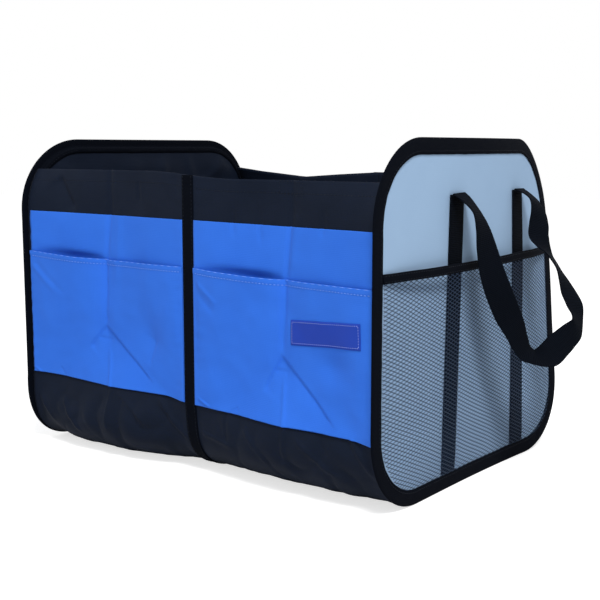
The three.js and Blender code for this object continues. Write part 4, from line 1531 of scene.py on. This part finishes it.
@dataclass
class CentreSeam:
    """Tape over the centre seam, and the divider that is sewn in behind it."""

    halves: dict
    finishes: Finishes

    def build(self) -> None:
        """Make the tape, the divider's cloths and its top tape."""
        self.tape()
        self.divider()

    def tape(self) -> None:
        """U-shaped tape: down the front, under the base and up the back."""
        reach, half = TAPE_EDGE, self.halves[End.RIGHT]
        across = np.array([-reach, -reach + 0.5, -5.5, -2.5, 0, 2.5, 5.5, reach - 0.5, reach])
        crown = np.array([0.9, 0.15, 0.0, 0.1, 0.15, 0.1, 0.0, 0.15, 0.9])
        outer, inner = (half.shell_side(np.zeros(1), depth)[:, 0] for depth in (0.0, PANEL_CLOTH))
        inward = unit(inner - outer)
        along = lengths(outer)
        wobble = 0.25 * wander(along, 0 * along, 90, 2.0)
        pucker = 0.25 * wander(along, 0 * along, 8, 9.0)
        sideways = np.array([1.0, 0.0, 0.0])
        spread = outer[:, None] + (across[None] + wobble[:, None])[..., None] * sideways
        depth = (crown[None] + np.maximum(pucker, 0)[:, None])[..., None]
        uv = np.stack(np.broadcast_arrays(across[None], along[:, None]), -1)
        tape = closed_sheet("centre_binding", spread + inward[:, None] * depth,
                            spread + inward[:, None] * PANEL_CLOTH, uv, self.finishes.tape)
        place_piece(tape, BAG, "black_tape", "centre_binding")
        for word, x in (("left", -6.0), ("right", 6.0)):
            sew(f"centre_stitches_{word}", outer + sideways * (x + wobble)[:, None], -inward,
                "black_tape", self.finishes.black_thread)

    def divider(self) -> None:
        """Board, the cloth on both its sides, and the tape along its top."""
        rows = sum(SHELL_ROWS[Side.FRONT])
        wall = self.halves[End.RIGHT].shell_side(np.zeros(1), WALL_OFFSET + WALL_CLOTH)[:rows, 0]
        for node, side in (("divider_cloth_left", -1), ("divider_board", 0), ("divider_cloth_right", 1)):
            low, high = box_mm(node)
            points = np.array([v.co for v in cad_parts[node].data.vertices]) / MM
            outline = sorted({(round(p[2], 2), round(abs(p[1]), 2)) for p in points})
            heights, halves = (np.array(values) for values in zip(*outline))
            z = np.concatenate([np.linspace(low.z, 60, 30)[:-1], np.linspace(60, high.z, 40)])[:, None]
            inside = np.interp(z, wall[::-1, 2], -wall[::-1, 1]) - CLEAR
            half = np.minimum(np.interp(z, heights, halves), inside)
            y = np.linspace(-1, 1, 60)[None] * half
            z = z + 0 * y
            puff = 1.2 * np.abs(wander(y, z, 70, 4.0)) * smooth((half - np.abs(y)) / 20)
            faces = [low.x, high.x] if side < 0 else [high.x, low.x]
            outer = np.stack([faces[0] + side * puff * smooth((high.z - 18 - z) / 20), y, z], -1)
            inner = np.stack([np.full_like(y, faces[1]), y, z], -1)
            sheet = closed_sheet(node, outer, inner, np.stack([y, z], -1), self.finishes.black)
            place_piece(sheet, BAG, "black_cloth" if side else "stiff_board", node)
        low, high = box_mm("divider_top_binding")
        y = np.linspace(low.y, high.y, 120)
        middle, half = (low.x + high.x) / 2, (high.x - low.x) / 2
        left = [(-half + 0.8, high.z - 1.2), (-half + 0.8, low.z), (-half, low.z),
                (-half, high.z - 1.6), (-half * 0.6, high.z - 0.3)]
        section = np.array([*left, (0, high.z), *((-across, up) for across, up in reversed(left))])
        z = section[:, 1][None] + 0.3 * wander(y, 0 * y, 30, 3.0)[:, None]
        rings = np.stack(np.broadcast_arrays(middle + section[:, 0][None], y[:, None], z), -1)
        tape = swept("divider_top_binding", rings, np.arange(len(section)) * 4.0, y,
                     self.finishes.tape)
        place_piece(tape, BAG, "black_tape", "divider_top_binding")


@dataclass
class BaseBoards:
    """Cloth-covered boards that lie in the bottom of the compartments."""

    finishes: Finishes
    round_edge: float = 1.2

    def build(self) -> None:
        """Make one rounded, covered board for each compartment."""
        for end in End:
            node = f"{end.word}_base_board"
            low, high = box_mm(node)
            x = dense_steps([low.x, high.x], 8, 0.6, 3)
            y = dense_steps([low.y, high.y], 8, 0.6, 3)[:, None]
            edge = np.minimum(np.minimum(x - low.x, high.x - x)[None], np.minimum(y - low.y, high.y - y))
            drop = self.round_edge * np.clip(1 - edge / self.round_edge, 0, 1) ** 2
            uneven = 0.3 * wander(x[None] + 0 * y, y + 0 * x[None], 60, 5.0) * smooth(edge / 10)
            sides = [np.stack(np.broadcast_arrays(x[None], y, level), -1)
                     for level in (high.z - drop + np.minimum(uneven, 0), low.z + drop)]
            sheet = closed_sheet(node, sides[0], sides[1], sides[0][..., :2], self.finishes.black)
            place_piece(sheet, BAG, "stiff_board", node)


@dataclass
class Studio:
    """Pale floor, white surround, soft lights and the camera of the photograph."""

    # Fitted to the photograph: place in metres, heading and dip in radians, lens in millimetres
    place: tuple = (0.787734, -1.025995, 0.360071)
    heading: float = 0.649212
    dip: float = 0.142253
    lens: float = 63.965
    sensor: float = 36.0
    floor_reach: float = 6.0
    floor_drop: float = 0.0005

    def camera(self) -> None:
        """Set the camera."""
        data = bpy.data.cameras.new("camera")
        data.lens = self.lens
        data.sensor_width = self.sensor
        data.sensor_fit = "HORIZONTAL"
        data.clip_end = 20
        camera = bpy.data.objects.new("camera", data)
        camera.location = self.place
        camera.rotation_euler = (math.pi / 2 - self.dip, 0, self.heading)
        bpy.context.scene.collection.objects.link(camera)
        bpy.context.scene.camera = camera

    def floor(self) -> None:
        """A wide white floor that keeps the bag's shadow."""
        mesh = bpy.data.meshes.new("floor")
        reach, level = self.floor_reach, -self.floor_drop
        corners = [(-reach, -reach), (reach, -reach), (reach, reach), (-reach, reach)]
        mesh.from_pydata([(x, y, level) for x, y in corners], [], [(0, 1, 2, 3)])
        floor = bpy.data.objects.new("floor", mesh)
        bpy.context.scene.collection.objects.link(floor)
        material, shader = surface("white_floor", {
            "Base Color": linear("f2f2f2"), "Roughness": 0.9, "Emission Color": (1, 1, 1, 1)})
        tree = material.node_tree
        rays = add_node(tree, "ShaderNodeLightPath")
        glow = add_node(tree, "ShaderNodeMath", {"operation": "MULTIPLY", 1: 0.68},
                        {0: rays.outputs["Is Camera Ray"]})
        # Seen by the camera it glows, so that it melts into the white surround
        tree.links.new(glow.outputs[0], shader.inputs["Emission Strength"])
        mesh.materials.append(material)

    def lights(self) -> None:
        """Even white surround with a broad key light and a weaker fill."""
        world = bpy.data.worlds.new("surround")
        bpy.context.scene.world = world
        world.use_nodes = True
        tree = world.node_tree
        background = tree.nodes["Background"]
        background.inputs["Color"].default_value = (1, 1, 1, 1)
        rays = add_node(tree, "ShaderNodeLightPath")
        seen = add_node(tree, "ShaderNodeMath", {"operation": "MAXIMUM"},
                        {0: rays.outputs["Is Camera Ray"], 1: rays.outputs["Is Glossy Ray"]})
        strength = add_node(tree, "ShaderNodeMapRange", {"To Min": 0.34, "To Max": 1.0},
                            {"Value": seen.outputs[0]})
        tree.links.new(strength.outputs["Result"], background.inputs["Strength"])
        self.lamp("key", (1.4, -1.3, 2.4), 0.8, 64)
        self.lamp("fill", (-1.8, -1.6, 1.4), 1.6, 7)

    @staticmethod
    def lamp(name: str, place: tuple, size: float, power: float) -> None:
        """One soft square lamp that faces the bag.

        Args:
            name: its name.
            place: where it stands, in metres.
            size: its edge, in metres.
            power: its power in watts.
        """
        data = bpy.data.lights.new(name, "AREA")
        data.shape = "SQUARE"
        data.size = size
        data.energy = power
        lamp = bpy.data.objects.new(name, data)
        lamp.location = place
        lamp.rotation_euler = (Vector((0, 0, 0.15)) - Vector(place)).to_track_quat("-Z", "Y").to_euler()
        bpy.context.scene.collection.objects.link(lamp)

    def build(self) -> None:
        """Make the whole studio."""
        self.camera()
        self.floor()
        self.lights()
        bpy.context.scene.view_settings.view_transform = "Standard"


def main() -> None:
    """Build the studio and the organizer."""
    logging.basicConfig(level=logging.INFO, format="%(message)s")
    Studio().build()
    finishes = Finishes()
    halves = {end: Half(end, finishes) for end in End}
    for end in End:
        EndPanel(end, finishes).build()
        halves[end].build()
    Label(halves[End.RIGHT], finishes).build()
    CentreSeam(halves, finishes).build()
    BaseBoards(finishes).build()


if __name__ == "__main__":
    main()
